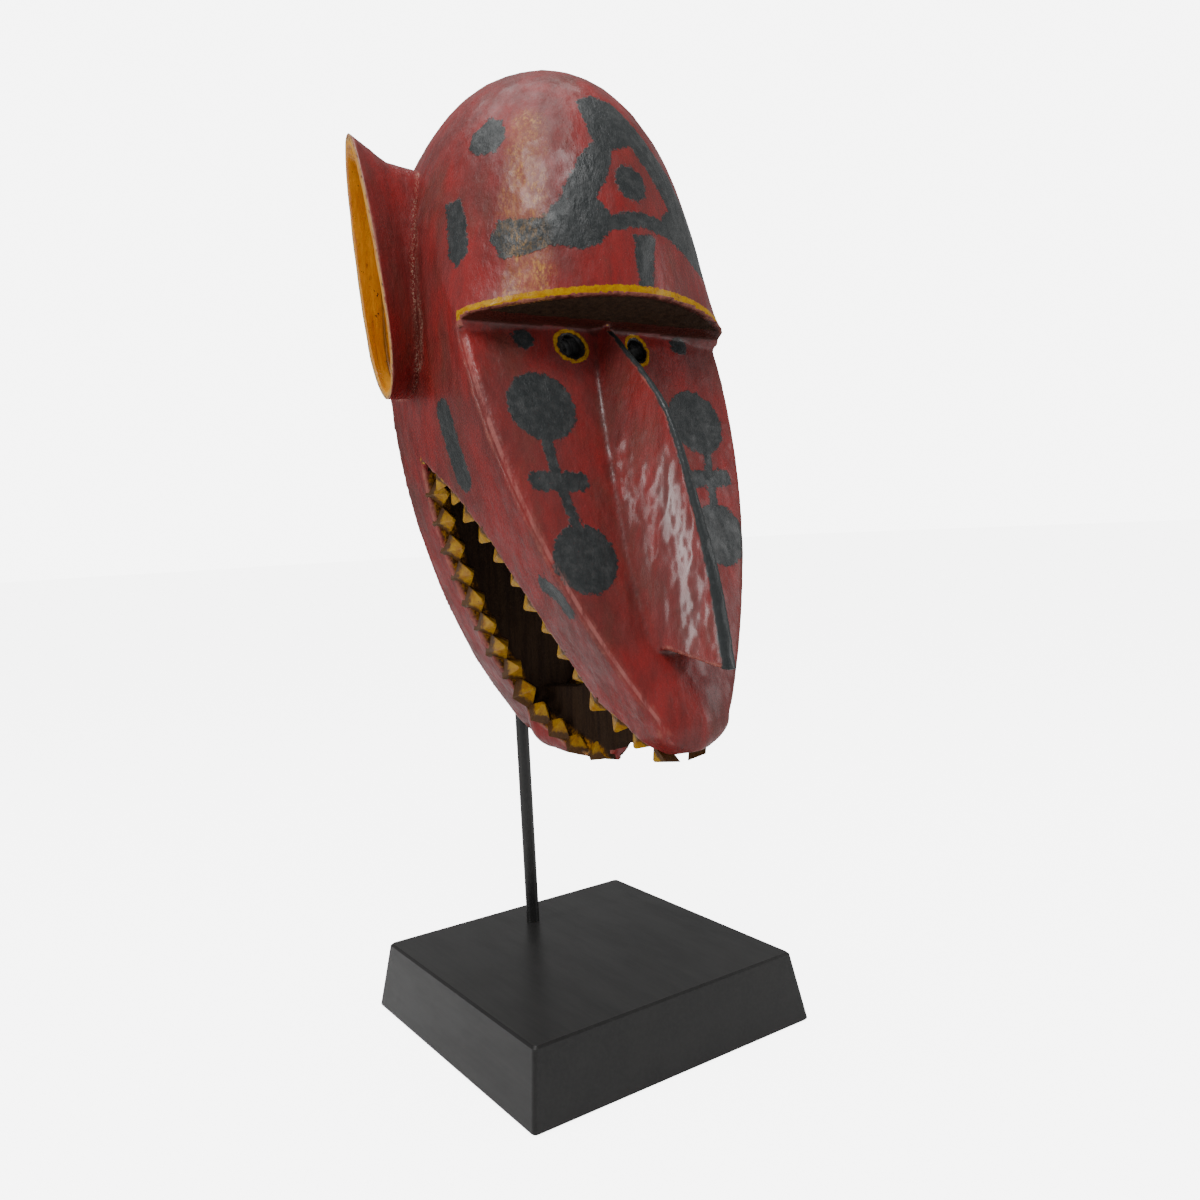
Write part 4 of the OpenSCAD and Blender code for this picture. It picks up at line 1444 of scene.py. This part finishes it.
def studio_camera():
    """Camera at the height of the jaws, turned to the mask's right cheek."""
    camera = bpy.data.objects.new("camera", bpy.data.cameras.new("camera"))
    bpy.context.scene.collection.objects.link(camera)
    camera.data.sensor_width = 36.0
    camera.data.lens = LENS
    azimuth, down, roll = (math.radians(v) for v in CAMERA_TURN)
    back = Vector((math.sin(azimuth) * math.cos(down), -math.cos(azimuth) * math.cos(down), math.sin(down)))
    right = Vector((math.cos(azimuth), math.sin(azimuth), 0.0))
    up = back.cross(right)
    r = math.cos(roll) * right + math.sin(roll) * up
    u = -math.sin(roll) * right + math.cos(roll) * up
    rows = [(r[i], u[i], back[i], CAMERA_AT[i]) for i in range(3)]
    camera.matrix_world = Matrix((*rows, (0, 0, 0, 1)))
    return camera


class MASK_OT_stage(bpy.types.Operator):
    """Set the floor, the lights and the camera"""

    bl_idname = "mask.stage"
    bl_label = "Stage"

    def execute(self, context):
        corners = [(-1, -1), (1, -1), (1, 1), (-1, 1)]
        floor = new_object("floor", [(x * FLOOR_HALF, y * FLOOR_HALF, 0) for x, y in corners],
                           [(0, 1, 2, 3)])
        floor.data.materials.append(studio_floor())
        context.scene.world = studio_world()
        middle = (0.0, -0.03, 0.42)
        softbox("key", (-0.75, -1.0, 2.0), middle, 1.0, 0.7, 30.0)
        softbox("side", (-1.9, 0.25, 0.7), middle, 0.22, 1.1, 10.0)
        softbox("top", (-0.2, 0.1, 1.9), middle, 1.2, 1.2, 12.0)
        softbox("fill", (1.5, -1.2, 0.7), middle, 0.7, 1.2, 9.0)
        context.scene.camera = studio_camera()
        return {"FINISHED"}


class MASK_PT_panel(bpy.types.Panel):
    """Sidebar panel with one button for each piece"""

    bl_idname = "MASK_PT_panel"
    bl_label = "Carved Mask"
    bl_space_type = "VIEW_3D"
    bl_region_type = "UI"
    bl_category = "Carved Mask"

    def draw(self, context):
        for settings in (context.scene.mask_carving, context.scene.mask_paint):
            for key in settings.__annotations__:
                self.layout.prop(settings, key)
        for step in STEPS:
            self.layout.operator(step.bl_idname)


STEPS = (MASK_OT_head, MASK_OT_ears, MASK_OT_teeth, MASK_OT_stand, MASK_OT_stage)
CLASSES = (CarvingSettings, PaintSettings, *STEPS, MASK_PT_panel)


def register():
    """Register the settings, the operators and the panel."""
    for cls in CLASSES:
        bpy.utils.register_class(cls)
    bpy.types.Scene.mask_carving = PointerProperty(type=CarvingSettings)
    bpy.types.Scene.mask_paint = PointerProperty(type=PaintSettings)


def unregister():
    """Take everything away again."""
    del bpy.types.Scene.mask_paint
    del bpy.types.Scene.mask_carving
    for cls in reversed(CLASSES):
        bpy.utils.unregister_class(cls)


def main():
    """Build every piece."""
    register()
    bpy.ops.mask.head()
    bpy.ops.mask.ears()
    bpy.ops.mask.teeth()
    bpy.ops.mask.stand()
    bpy.ops.mask.stage()


if __name__ == "__main__":
    main()
